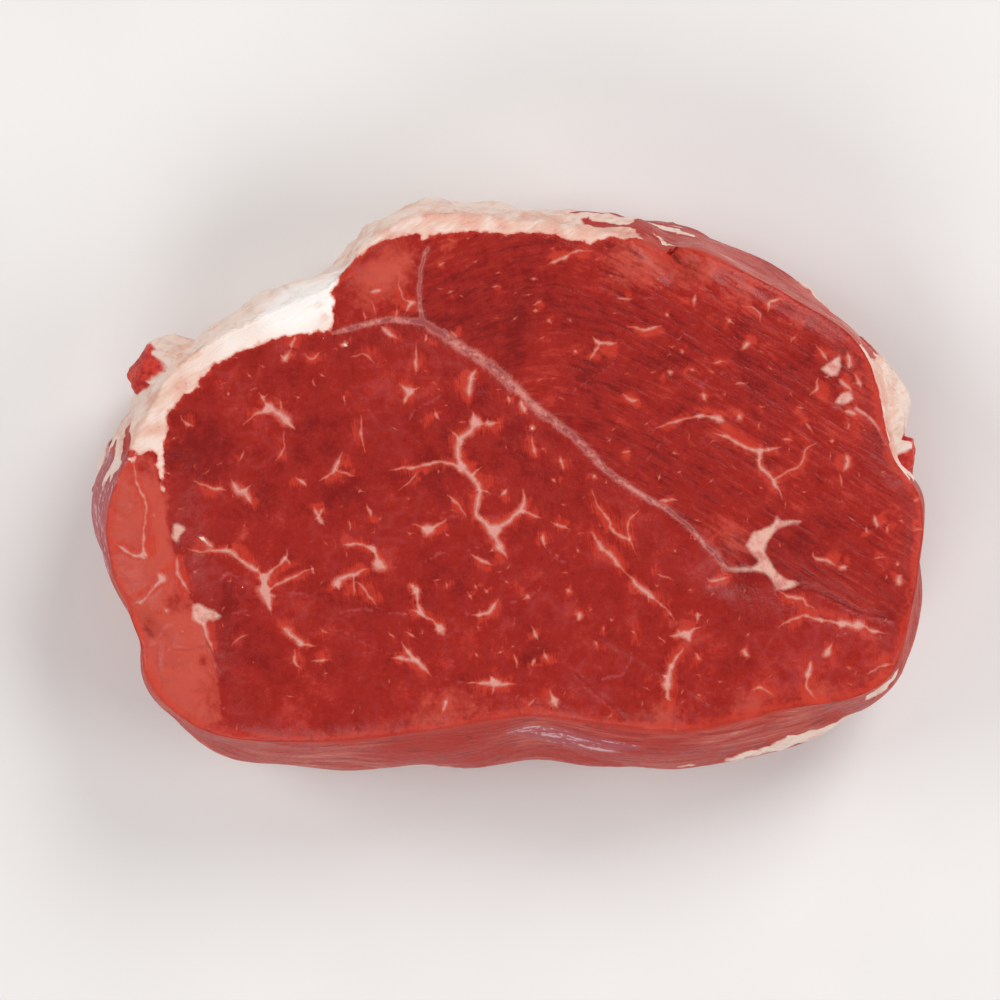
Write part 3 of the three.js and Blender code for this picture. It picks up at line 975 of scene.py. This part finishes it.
def upper_muscle_share(pixels):
    """1 in the upper muscle and the right-hand end, 0 in the round muscle and the left lobe."""
    outline = [(x, y) for x, y, _ in SEAMS[0]] + STEP_LINE[1:] + [(960, 640), (960, 150), (425, 150), (421, 300)]
    return fade(area_distance(pixels, outline), -4, 4)


def inside_by(pixels, outlines):
    """How far each pixel lies inside the nearest of the outlines; negative outside them all."""
    return np.max([area_distance(pixels, outline) for outline in outlines], axis=0)


def as_share(distance):
    """A signed distance in pixels as an attribute: 0.5 on the outline, and 0 or 1 eight pixels off."""
    return 0.5 + np.clip(distance, -8, 8) / 16


def spots(pixels, listed):
    """The sum of soft spots, each with a centre, a radius and a strength."""
    total = np.zeros(len(pixels))
    for x, y, radius, strength in listed:
        distance = np.hypot(pixels[:, 0] - x, pixels[:, 1] - y)
        total += strength * np.exp(-((distance / radius * 1.3) ** 2))
    return total


def cover_distance(skin, depth, covers, torn):
    """How far each point of the flank lies inside the nearest of the covers, in pixels."""
    edge = to_photo(skin.points[: skin.rim_count])
    steps = np.linalg.norm(edge - np.roll(edge, 1, axis=0), axis=1)
    run = np.cumsum(steps)
    around = run[-1]
    flank = np.where(skin.kinds == Skin.FLANK)[0]
    place = run[np.arange(len(flank)) % COLUMNS]
    best = np.full(len(skin.points), -30.0)
    for start, end, top, bottom, power in covers:
        first, last = (run[np.argmin(np.hypot(*(edge - pixel).T))] for pixel in (start, end))
        half = ((last - first) % around) / 2
        offset = (place - first - half + around / 2) % around - around / 2
        level = (depth[flank] - (top + bottom) / 2) / ((bottom - top) / 2)
        reach = (np.abs(offset / half) ** power + np.abs(level) ** power) ** (1 / power)
        inside = (1 - reach + torn[flank]) * min(half, (bottom - top) / 2 * PIXELS_PER_MM)
        best[flank] = np.maximum(best[flank], inside)
    return best


def cell_pattern(points, size):
    """A mosaic of cells: each one's tone, -1 to 1, and a net of 1 on their borders."""
    tones, net = np.empty(len(points)), np.empty(len(points))
    for i, p in enumerate(points / np.array(size, dtype=float)):
        distances, centres = noise.voronoi(Vector(p))
        border = distances[1] - distances[0]
        tones[i] = noise.cell(centres[0] * 7.3) * min(1, border / 0.25)
        net[i] = max(0, 1 - border / 0.16)
    return tones, net


def line_covers(pixels, strokes, seams, films):
    """How strongly each pixel shows marbling, the glow beside it, seam, film and painted glints."""
    flat = np.column_stack([pixels, np.zeros(len(pixels))])
    marbling = Lines(strokes)
    others = [Lines(seams), Lines(films), Lines([stroke(width, line, 5.5) for width, line in PAINTED_GLINTS])]
    drift = [noise_at(flat, 45, seed) * GLOW_DRIFT for seed in (51, 52)]
    covers = np.zeros((5, len(pixels)))
    for i, (x, y) in enumerate(pixels):
        near, half = marbling.nearest(x + drift[0][i], y + drift[1][i], 1)[0]
        covers[0][i] = marbling.cover(x, y)
        covers[1][i] = min(1, half / 1.3) * math.exp(-((near / GLOW_REACH) ** 2))
        for row, lines in enumerate(others):
            covers[row + 2][i] = lines.cover(x, y)
    return covers


def crease_fields(pixels):
    """Depth of the open creases, in millimetres, and how strongly painted shade darkens the flesh in them."""
    groove, dark = np.zeros(len(pixels)), np.zeros(len(pixels))
    for depth, half, listed in CREASES:
        line = smooth_line(listed, 2)
        tree = Lines([np.column_stack([line, np.full(len(line), half)])])
        near = (np.abs(pixels - line.mean(axis=0)) < np.ptp(line, axis=0) / 2 + 4 * half).all(axis=1)
        for i in np.where(near)[0]:
            distance = tree.nearest(*pixels[i], 1)[0][0]
            shape = math.exp(-((distance / half * 1.5) ** 2))
            groove[i] += depth * shape
            dark[i] = max(dark[i], shape * min(1, depth))
    return groove, dark


def describe(skin, strokes, seams, films):
    """Named attributes of every vertex, the relief of the cut face and that of the flank."""
    points = skin.points
    pixels = to_photo(points)
    under, flank, top = (skin.kinds == kind for kind in (Skin.UNDER, Skin.FLANK, Skin.TOP))
    shifted = points[under] + np.stack([noise_at(points[under], 30, s) * 5 for s in (5, 6, 7)], axis=1)
    shifted[:, 2] = CUT_HEIGHT
    pixels[under] = to_photo(shifted)
    flat = np.column_stack([pixels, np.zeros(len(pixels))])
    depth = depth_below_edge(skin)

    covers = line_covers(pixels, strokes, seams, films) * (1 - fade(depth, 0.5, 3))
    groove, dark = crease_fields(pixels)

    ragged = noise_at(flat, 9, 20, 3) * 3.0
    torn = noise_at(points, (13, 13, 5), 21, 4) * 0.4
    lower = np.where(flank, fade(depth, 0.5, 6), 0)
    fat, membrane, red = (
        (inside_by(pixels, areas) + weight * ragged) * (1 - lower)
        + cover_distance(skin, depth, listed, weight * torn) * lower
        for areas, listed, weight in (
            (FAT_AREAS, FAT_COVERS, 1), (MEMBRANE_AREAS, MEMBRANE_COVERS, 1), (RED_AREAS, RED_COVERS, 0.8))
    )
    fat[under] = membrane[under] = red[under] = -9
    sinew = inside_by(pixels, SINEW_AREAS) + 0.3 * ragged
    tint = spots(pixels, TINTS)
    tint += LOBE_TINT * fade(area_distance(pixels, LOBE_AREA) + 0.5 * ragged, -1.5, 2)

    upper = upper_muscle_share(pixels)
    below_step = area_distance(pixels, STEP_LINE + [(940, 660), (800, 760), (600, 640)])
    step = fade(below_step, -1.0, 1.5) * fade(-below_step, -STEP_FADE, -2)

    along, across = fibre_frame(pixels)
    fibres = np.column_stack([along, across, np.zeros(len(points))])
    ridges = noise_at(fibres, (46, 8, 1), 31, 2)
    bundles = noise_at(flat, 13, 33, 2)
    fine = noise_at(flat, 5, 35, 1)
    vein, _, seam_cover, _, _ = covers
    relief = upper * 0.26 * ridges + (1 - upper) * 0.16 * bundles + 0.05 * fine
    relief += 0.10 * fade(vein, 0.3, 0.8) - 0.16 * np.exp(-(((vein - 0.25) / 0.2) ** 2)) * (vein > 0.02)
    relief -= 0.30 * fade(seam_cover, 0.0, 0.6)
    relief -= groove + STEP_DROP * step
    in_fat = fade(fat, -1.5, 2.5)
    relief += in_fat * 0.2 * noise_at(flat, 9, 37, 2)

    layer = points[:, 2] + 4.0 * noise_at(points, (38, 38, 60), 71) + 1.4 * noise_at(points, (13, 13, 30), 72)
    tones, net = cell_pattern(points + 0.8 * noise_at(points, 5, 73)[:, None], (5.5, 4.2, 6))
    values = dict(zip(("vein", "glow", "seam", "film", "bright"), covers))
    values.update({
        "crease": dark,
        "fat": as_share(fat),
        "sinew": as_share(sinew),
        "red": as_share(red),
        "membrane": as_share(membrane),
        "tint": np.clip(tint, -1, 1),
        "peach": spots(pixels, FAT_TINTS) * (1 - 0.85 * fade(depth, 3, 16)),
        "upper": upper,
        "flank": fade(depth, 0.3, 1.9),
        "edge": np.exp(-((depth / np.where(depth > 0, 2.6, 3.2)) ** 2)),
        "blotch": 0.27 * noise_at(points, 11, 61, 3),
        "patch": 0.27 * noise_at(points, 4.2, 63, 2),
        "sheets": 0.27 * noise_at(points, 24, 65, 3),
        "lumps": 0.27 * noise_at(points, 6, 67, 2),
        "mosaic": tones,
        "net": net,
        "layer": layer,
    })
    attributes = {name: values[name] for name in ATTRIBUTES}
    return attributes, np.where(top, relief, 0), np.where(flank, flank_relief(points, layer, in_fat), 0)


def flank_relief(points, layer, in_fat):
    """How far the flank stands out: bulges and folds along it, and lumps and crags where it is fat."""
    bulges = noise_at(points, (30, 30, 12), 41, 2)
    beds = np.column_stack([points[:, :2], layer])
    folds = np.clip(1 - np.abs(noise_at(beds, (42, 42, 7), 42)) / 0.12, 0, 1)
    lumps = noise_at(points, (8, 8, 6), 43, 3)
    tears = np.clip(1 - np.abs(noise_at(beds, (16, 16, 6), 44)) / 0.1, 0, 1)
    lean = 0.8 * bulges - 0.55 * folds
    fatty = 0.5 * bulges + 1.1 * lumps - 0.9 * tears
    return lean * (1 - in_fat) + fatty * in_fat - 0.3


def depth_below_edge(skin):
    """How far each point of the flank lies below the upper edge, in mm, and how far inside it the
    points of the upper cut face lie, as a negative number."""
    depth = -area_distance(skin.points[:, :2], skin.rim)
    flank = np.where(skin.kinds == Skin.FLANK)[0]
    edge = skin.points[: skin.rim_count, 2]
    depth[flank] = edge[np.arange(len(flank)) % COLUMNS] - skin.points[flank, 2]
    depth[: skin.rim_count] = 0
    depth[skin.kinds == Skin.UNDER] = -20
    return depth


# ---- The mesh ----


def build_skin(node):
    tree = smooth_form(node)
    rng = random.Random(SEED)
    placed = []
    for i, (width, line) in enumerate(MARBLING):
        placed.append(stroke(width, line, 0.37 * i, joined_ends(i, MARBLING)))
    strokes = placed + [spur for line in placed for spur in spurs(line, rng)]
    strokes += random_flecks(rng, Lines(placed))
    seams = seam_lines()
    films = [stroke(width, line, 70 + 0.41 * i) for i, (width, line) in enumerate(FILMS)]
    skin = Skin(tree, strokes + seams)
    attributes, relief, flank_depth = describe(skin, strokes, seams, films)

    points = skin.points.copy()
    edge = np.clip(area_distance(points[:, :2], skin.rim), 0, 2) / 2
    points[:, 2] += relief * np.where(skin.kinds == Skin.TOP, edge, 0)
    outward = points[:, :2] / (np.linalg.norm(points[:, :2], axis=1, keepdims=True) + 1e-9)
    points[:, :2] += outward * flank_depth[:, None]

    corners = np.array([v.co / MM for v in node.data.vertices])
    points = np.clip(points, corners.min(axis=0) + BOX_MARGIN, corners.max(axis=0) - BOX_MARGIN)

    mesh = bpy.data.meshes.new(PIECE)
    mesh.from_pydata((points * MM).tolist(), [], skin.faces)
    for name, values in attributes.items():
        layer = mesh.attributes.new(name, "FLOAT", "POINT")
        layer.data.foreach_set("value", values.astype(np.float32))
    mesh.polygons.foreach_set("use_smooth", np.ones(len(mesh.polygons), dtype=bool))
    mesh.update()
    flesh = bpy.data.objects.new(PIECE, mesh)
    bpy.context.scene.collection.objects.link(flesh)
    return flesh


# ---- Materials ----


class Graph:
    """Short calls for building one material's nodes."""

    def __init__(self, name):
        self.material = bpy.data.materials.new(name)
        self.material.use_nodes = True
        self.tree = self.material.node_tree
        self.shader = self.tree.nodes["Principled BSDF"]
        coordinates = self.tree.nodes.new("ShaderNodeTexCoord")
        scaled = self.tree.nodes.new("ShaderNodeVectorMath")
        scaled.operation = "SCALE"
        scaled.inputs["Scale"].default_value = 1 / MM
        self.link(coordinates.outputs["Object"], scaled.inputs[0])
        self.place = scaled.outputs[0]

    def link(self, source, target):
        self.tree.links.new(source, target)

    def feed(self, socket, value):
        if isinstance(value, bpy.types.NodeSocket):
            self.link(value, socket)
        elif isinstance(value, tuple) and len(value) == 3 and socket.type == "RGBA":
            socket.default_value = (*value, 1)
        else:
            socket.default_value = value

    def attribute(self, name):
        node = self.tree.nodes.new("ShaderNodeAttribute")
        node.attribute_name = name
        return node.outputs["Fac"]

    def math(self, operation, a, b=0.0, clamp=False):
        node = self.tree.nodes.new("ShaderNodeMath")
        node.operation = operation
        node.use_clamp = clamp
        self.feed(node.inputs[0], a)
        self.feed(node.inputs[1], b)
        return node.outputs[0]

    def add(self, *terms):
        total = terms[0]
        for term in terms[1:]:
            total = self.math("ADD", total, term)
        return total

    def times(self, a, b):
        return self.math("MULTIPLY", a, b)

    def step(self, value, low, high, to_low=0.0, to_high=1.0):
        node = self.tree.nodes.new("ShaderNodeMapRange")
        node.interpolation_type = "SMOOTHSTEP"
        self.feed(node.inputs["Value"], value)
        node.inputs["From Min"].default_value = low
        node.inputs["From Max"].default_value = high
        node.inputs["To Min"].default_value = to_low
        node.inputs["To Max"].default_value = to_high
        return node.outputs["Result"]

    def mix(self, share, a, b):
        node = self.tree.nodes.new("ShaderNodeMix")
        node.data_type = "RGBA"
        self.feed(node.inputs[0], share)
        self.feed(node.inputs[6], a)
        self.feed(node.inputs[7], b)
        return node.outputs[2]

    def stretch(self, vector, size, turn=0.0):
        """Coordinates in which one unit is size millimetres each way, turned about Z by degrees."""
        node = self.tree.nodes.new("ShaderNodeMapping")
        node.vector_type = "TEXTURE"
        self.link(vector, node.inputs["Vector"])
        node.inputs["Rotation"].default_value = Euler((0, 0, math.radians(turn)))
        node.inputs["Scale"].default_value = size
        return node.outputs[0]

    def noise(self, vector, size, detail=3.0, roughness=0.55, turn=0.0, distortion=0.0):
        """Noise centred on 0, with blotches of about size millimetres."""
        node = self.tree.nodes.new("ShaderNodeTexNoise")
        sizes = size if isinstance(size, tuple) else (size, size, size)
        self.link(self.stretch(vector, sizes, turn), node.inputs["Vector"])
        node.inputs["Scale"].default_value = 1
        node.inputs["Detail"].default_value = detail
        node.inputs["Roughness"].default_value = roughness
        node.inputs["Distortion"].default_value = distortion
        return self.math("SUBTRACT", node.outputs[0], 0.5)

    def layered_place(self, layer):
        """Object coordinates whose height is replaced by the flank's wavy beds."""
        split = self.tree.nodes.new("ShaderNodeSeparateXYZ")
        self.link(self.place, split.inputs[0])
        joined = self.tree.nodes.new("ShaderNodeCombineXYZ")
        self.link(split.outputs[0], joined.inputs[0])
        self.link(split.outputs[1], joined.inputs[1])
        self.link(layer, joined.inputs[2])
        return joined.outputs[0]

    def fibre_place(self):
        """Coordinates along and across the upper muscle's arched fibres, in millimetres."""
        pixel = (CAMERA_HEIGHT - CUT_HEIGHT) / FOCAL_PIXELS
        top = CAMERA_X + (ARCH_TOP - PHOTO_MIDDLE) * pixel
        width = ARCH_WIDTH * pixel
        split = self.tree.nodes.new("ShaderNodeSeparateXYZ")
        self.link(self.place, split.inputs[0])
        offset = self.math("SUBTRACT", split.outputs[0], top)
        arch = self.math("SQRT", self.add(self.times(offset, offset), width * width))
        joined = self.tree.nodes.new("ShaderNodeCombineXYZ")
        self.link(split.outputs[0], joined.inputs[0])
        self.link(self.add(split.outputs[1], self.times(arch, ARCH_SLOPE)), joined.inputs[1])
        self.link(split.outputs[2], joined.inputs[2])
        return joined.outputs[0]


def colour(red, green, blue):
    """A colour given as it looks on screen, 0 to 255, as the shader's linear values."""
    parts = []
    for part in (red, green, blue):
        share = part / 255
        parts.append(share / 12.92 if share <= 0.04045 else ((share + 0.055) / 1.055) ** 2.4)
    return tuple(parts)


DEEP_LEAN = colour(132, 25, 22)
LEAN = colour(156, 32, 25)
BRIGHT_LEAN = colour(184, 47, 36)
ORANGE_LEAN = colour(198, 56, 38)
PALE_LEAN = colour(200, 81, 65)
# Painted shade for the furrows between the fibre ridges.
FURROW_SHADE = colour(116, 17, 15)
SKIRT = colour(202, 86, 68)
MARBLING_FAT = colour(204, 118, 106)
MARBLING_CORE = colour(222, 156, 144)
# White of the painted glints.
GLINT_WHITE = colour(246, 226, 216)
SINEW = colour(230, 176, 160)
SINEW_PINK = colour(208, 128, 118)
FAT = colour(243, 217, 204)
# Whiter fat, partly painted light on the shaded slope in the middle of the fat cap.
FAT_WHITE_AND_LIGHT = colour(255, 246, 240)
FAT_SHADE = colour(234, 190, 168)
FAT_PINK = colour(228, 158, 142)
FAT_CRAG = colour(212, 116, 96)
SILVER_EDGE = colour(202, 106, 94)
SILVER_DARK = colour(150, 72, 76)
SILVER_PALE = colour(212, 136, 126)
FILM = colour(172, 64, 66)
FLANK_RED = colour(178, 46, 36)
FLANK_DARK = colour(134, 26, 22)
FLANK_FILM = colour(200, 96, 82)
FLANK_WHITE = colour(232, 188, 178)
LILAC = colour(170, 70, 78)
LILAC_WHITE = colour(226, 184, 192)
CUT_EDGE = colour(204, 58, 40)
# Painted shade, laid into the open creases.
CREASE_SHADE = colour(120, 14, 14)
RED_TAG = colour(218, 62, 48)
RED_TAG_DARK = colour(176, 34, 28)


class Noises:
    """The flesh's noises and attributes, which several layers share."""

    def __init__(self, g):
        place, fibre = g.place, g.fibre_place()
        for name in ATTRIBUTES:
            setattr(self, name, g.attribute(name))
        self.not_upper = g.math("SUBTRACT", 1.0, self.upper)
        self.speckle = g.noise(place, 1.3, 2, 0.6)
        self.fleck = g.noise(place, 0.5, 1, 0.6)
        self.ridge = g.times(g.noise(fibre, (6, 1.5, 5), 2, 0.55, distortion=0.3), self.upper)
        upper_streak = g.noise(fibre, (7, 1.8, 5), 2, 0.6)
        round_streak = g.noise(place, (3.4, 2.6, 4), 2, 0.55)
        self.streak = g.add(
            g.times(upper_streak, self.upper),
            g.times(round_streak, g.times(self.not_upper, 0.6)),
        )
        self.hairs = g.times(g.noise(place, (0.45, 3.6, 3), 2, 0.5, turn=8), self.not_upper)
        self.strands = g.noise(g.layered_place(self.layer), (15, 15, 1.5), 4, 0.7)
        self.grain = g.noise(place, (7, 1.3, 3), 3, 0.6, turn=32)


def lean_layer(g, n):
    # The ridge term in this tone also paints the fibre ridges lighter and their furrows darker: painted light and
    # shade, beside the lean's own blotches and streaks.
    tone = g.add(
        g.times(n.blotch, 0.9),
        g.times(n.patch, 0.6),
        g.times(n.speckle, 0.5),
        g.times(n.streak, 0.5),
        g.times(n.ridge, 0.7),
        g.times(n.fleck, 0.5),
        g.times(n.tint, 0.3),
        g.times(g.times(n.mosaic, n.not_upper), 0.07),
    )
    lean = g.mix(g.step(tone, -0.42, 0.0), DEEP_LEAN, LEAN)
    lean = g.mix(g.step(tone, 0.0, 0.46), lean, BRIGHT_LEAN)
    uneven = g.add(g.times(n.speckle, 0.5), g.times(n.streak, 0.5), g.times(n.patch, 0.6))
    # The ridge term here also paints the ridge crests paler: painted light.
    pale = g.add(n.tint, uneven, g.times(n.ridge, 0.5))
    lean = g.mix(g.times(g.step(pale, 0.25, 1.0), 0.92), lean, PALE_LEAN)
    near_fat = g.step(n.fat, 0.0, 0.5, 0.0, 0.55)
    warm = g.add(n.glow, near_fat, g.times(n.hairs, 1.5), uneven)
    lean = g.mix(g.times(g.step(warm, 0.25, 1.0), 0.8), lean, ORANGE_LEAN)
    # Painted shade: the furrows between the upper muscle's fibre ridges are darkened, most where the blotch noise
    # is low too.
    dark = g.times(g.step(g.add(n.ridge, g.times(n.blotch, 0.6)), -0.08, -0.2), 0.42)
    lean = g.mix(dark, lean, FURROW_SHADE)
    # Painted highlight: the crests of the fibre ridges are lightened with pale lean.
    light = g.times(g.step(g.add(n.ridge, g.times(n.blotch, 0.7)), 0.1, 0.24), 0.16)
    return g.mix(light, lean, PALE_LEAN)


def film_layer(g, n, lean):
    """Lilac films: a faint net round the bundles, and the drawn ones."""
    net = g.times(g.times(n.net, g.step(n.blotch, -0.05, 0.12)), g.times(n.not_upper, 0.35))
    drawn = g.times(g.step(g.add(n.film, g.times(n.speckle, 0.7)), 0.15, 0.7), 0.75)
    return g.mix(g.math("MAXIMUM", net, drawn), lean, FILM)


def marbling_layer(g, n, lean):
    soft = g.add(n.vein, g.times(n.speckle, 0.32), g.times(n.fleck, 0.32))
    skirted = g.mix(g.times(g.step(soft, 0.06, 0.5), 0.75), lean, SKIRT)
    marbled = g.mix(g.times(g.step(soft, 0.36, 0.8), 0.95), skirted, MARBLING_FAT)
    marbled = g.mix(g.times(g.step(soft, 0.7, 1.05), 0.85), marbled, MARBLING_CORE)
    # Painted glints: white specks of painted highlight.
    return g.mix(g.step(g.add(n.bright, g.times(n.fleck, 0.5)), 0.3, 0.6), marbled, GLINT_WHITE)


def silverskin_layer(g, n, surface):
    worn = g.add(n.seam, g.times(n.speckle, 0.4), g.times(n.fleck, 0.4), g.times(n.patch, 0.4))
    tone = g.mix(g.step(g.add(n.blotch, n.patch, n.speckle), -0.16, 0.2), SILVER_DARK, SILVER_PALE)
    edged = g.mix(g.times(g.step(worn, 0.1, 0.5), 0.6), surface, SILVER_EDGE)
    return g.mix(g.times(g.step(worn, 0.45, 0.85), 0.85), edged, tone)


def sinew_layer(g, n, surface):
    worn = g.add(n.sinew, g.times(n.speckle, 0.12), g.times(n.fleck, 0.1))
    tone = g.mix(g.step(g.add(n.patch, g.times(n.speckle, 0.6)), -0.05, 0.22), SINEW, SINEW_PINK)
    return g.mix(g.times(g.step(worn, 0.34, 0.62), 0.96), surface, tone)


def flank_layer(g, n, surface):
    """Lean under a membrane that is streaked along the roast's edge."""
    membrane = g.step(n.membrane, 0.3, 0.7)
    dark = g.times(g.step(g.add(n.strands, g.times(n.patch, 0.9)), -0.06, -0.26), 0.8)
    deep = g.mix(dark, FLANK_RED, FLANK_DARK)
    share = g.add(g.times(n.strands, 1.7), g.times(n.sheets, 1.4), g.times(membrane, 0.28))
    tone = g.mix(g.times(g.step(share, -0.06, 0.36), 0.8), deep, FLANK_FILM)
    white = g.add(n.strands, g.times(n.sheets, 0.7), g.times(membrane, 0.08))
    tone = g.mix(g.times(g.step(white, 0.18, 0.32), 0.7), tone, FLANK_WHITE)
    return g.mix(g.times(n.flank, 0.94), surface, tone)


def lilac_layer(g, n, surface):
    """The membrane over the left end, with fine white lines."""
    area = g.times(g.step(g.add(n.membrane, g.times(n.strands, 0.4)), 0.4, 0.66), g.step(n.upper, 0.5, 0.0))
    tone = g.mix(g.times(g.step(g.add(n.strands, g.times(n.speckle, 0.4)), 0.03, 0.13), 0.85), LILAC, LILAC_WHITE)
    return g.mix(g.times(area, 0.8), surface, tone)


def edge_layer(g, n, surface):
    worn = g.add(n.edge, g.times(n.speckle, 0.8), g.times(n.patch, 0.6))
    share = g.times(g.step(worn, 0.45, 1.0), g.step(n.membrane, 0.3, 0.7, 0.6, 0.2))
    return g.mix(share, surface, CUT_EDGE)


def fat_layer(g, n, surface):
    """The surface with its fat, and how much of it is fat."""
    mottle = g.add(g.times(n.grain, 1.1), g.times(n.lumps, 0.8), g.times(n.peach, 0.3))
    # Whiter fat where the tints are negative: partly its own colour, partly painted light on the cap's shaded
    # slope.
    tone = g.mix(g.step(n.peach, 0.0, -0.6), FAT, FAT_WHITE_AND_LIGHT)
    tone = g.mix(g.times(g.step(mottle, -0.06, 0.3), 0.85), tone, FAT_SHADE)
    tone = g.mix(g.times(g.step(g.add(n.lumps, g.times(n.peach, 0.2)), 0.03, 0.28), 0.5), tone, FAT_PINK)
    crag = g.add(g.times(n.speckle, 0.7), n.lumps, g.times(n.flank, 0.04), g.times(n.peach, 0.06))
    tone = g.mix(g.times(g.step(crag, 0.2, 0.34), 0.5), tone, FAT_CRAG)
    worn = g.add(n.fat, g.times(n.speckle, 0.2), g.times(n.fleck, 0.1))
    tone = g.mix(g.step(worn, 0.5, 0.7), FAT_PINK, tone)
    share = g.step(worn, 0.44, 0.56)
    return g.mix(share, surface, tone), share


def red_layer(g, n, surface):
    share = g.step(g.add(n.red, g.times(n.speckle, 0.1)), 0.42, 0.6)
    tone = g.mix(g.step(g.add(n.patch, n.speckle), -0.15, 0.25), RED_TAG, RED_TAG_DARK)
    return g.mix(share, surface, tone)


def set_finish(g, n, fat_share):
    """Wetness, and the relief that is too fine for the mesh."""
    wet = g.add(n.patch, g.times(n.speckle, 0.8), g.times(fat_share, 0.1))
    g.link(g.step(wet, -0.3, 0.35, 0.32, 0.54), g.shader.inputs["Roughness"])
    g.shader.inputs["Specular IOR Level"].default_value = 0.2
    g.shader.inputs["Coat Weight"].default_value = 0.08
    g.shader.inputs["Coat Roughness"].default_value = 0.2
    height = g.add(
        g.times(n.ridge, 0.4),
        g.times(n.speckle, 0.24),
        g.times(g.times(n.strands, n.flank), 0.7),
        g.times(n.vein, 0.06),
        g.times(g.times(n.grain, fat_share), 0.5),
    )
    bump = g.tree.nodes.new("ShaderNodeBump")
    bump.inputs["Strength"].default_value = 0.85
    bump.inputs["Distance"].default_value = 1.0 * MM
    g.link(height, bump.inputs["Height"])
    g.link(bump.outputs[0], g.shader.inputs["Normal"])


def flesh_material():
    g = Graph("flesh")
    n = Noises(g)
    lean = film_layer(g, n, lean_layer(g, n))
    cut = sinew_layer(g, n, silverskin_layer(g, n, marbling_layer(g, n, lean)))
    # Painted shade in the open creases.
    cut = g.mix(g.times(g.step(n.crease, 0.15, 0.9), 0.55), cut, CREASE_SHADE)
    whole = lilac_layer(g, n, edge_layer(g, n, flank_layer(g, n, cut)))
    fatty, fat_share = fat_layer(g, n, whole)
    g.link(red_layer(g, n, fatty), g.shader.inputs["Base Color"])
    set_finish(g, n, fat_share)
    return g.material


def floor_material():
    g = Graph("floor")
    g.shader.inputs["Roughness"].default_value = 0.7
    cloud = g.noise(g.place, 60, 2)
    pale = g.mix(g.step(cloud, -0.4, 0.4), colour(233, 230, 228), colour(237, 234, 232))
    g.link(pale, g.shader.inputs["Base Color"])
    return g.material


# ---- The studio ----


def make_floor():
    mesh = bpy.data.meshes.new("floor")
    reach = 3.0
    corners = [(-reach, -reach, 0), (reach, -reach, 0), (reach, reach, 0), (-reach, reach, 0)]
    mesh.from_pydata(corners, [], [(0, 1, 2, 3)])
    mesh.materials.append(floor_material())
    floor = bpy.data.objects.new("floor", mesh)
    bpy.context.scene.collection.objects.link(floor)


def make_light(name, place, size, power, tint=(1, 1, 1)):
    data = bpy.data.lights.new(name, "AREA")
    data.shape = "DISK"
    data.size = size
    data.energy = power
    data.color = tint
    light = bpy.data.objects.new(name, data)
    light.location = place
    light.rotation_euler = (-Vector(place)).to_track_quat("-Z", "Y").to_euler()
    bpy.context.scene.collection.objects.link(light)


def make_studio():
    make_floor()
    make_light("key", (0.75, 1.0, 1.15), 0.8, 13)
    make_light("left", (-1.3, 0.35, 1.1), 1.0, 10.5)
    make_light("right", (1.35, -0.3, 1.05), 1.0, 9)
    make_light("front", (-0.4, -1.35, 1.05), 1.0, 11)
    world = bpy.data.worlds.new("studio")
    world.use_nodes = True
    background = world.node_tree.nodes["Background"]
    background.inputs["Color"].default_value = (1, 1, 1, 1)
    background.inputs["Strength"].default_value = 0.2
    bpy.context.scene.world = world
    bpy.context.scene.view_settings.view_transform = "Standard"


def make_camera():
    data = bpy.data.cameras.new("camera")
    data.sensor_width = 36
    data.lens = FOCAL_PIXELS * 36 / 1000
    data.clip_start = 0.05
    camera = bpy.data.objects.new("camera", data)
    camera.location = (CAMERA_X * MM, CAMERA_Y * MM, CAMERA_HEIGHT * MM)
    bpy.context.scene.collection.objects.link(camera)
    bpy.context.scene.camera = camera


# ---- Putting it together ----

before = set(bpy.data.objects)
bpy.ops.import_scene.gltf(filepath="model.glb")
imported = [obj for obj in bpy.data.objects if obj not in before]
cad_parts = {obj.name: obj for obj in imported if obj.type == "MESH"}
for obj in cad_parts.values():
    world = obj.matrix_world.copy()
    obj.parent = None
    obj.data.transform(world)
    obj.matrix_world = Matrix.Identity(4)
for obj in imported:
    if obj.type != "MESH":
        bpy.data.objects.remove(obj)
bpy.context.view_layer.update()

make_camera()
make_studio()

flesh = build_skin(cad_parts["roast"])
flesh.data.materials.append(flesh_material())
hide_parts("roast")
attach(flesh, "root")
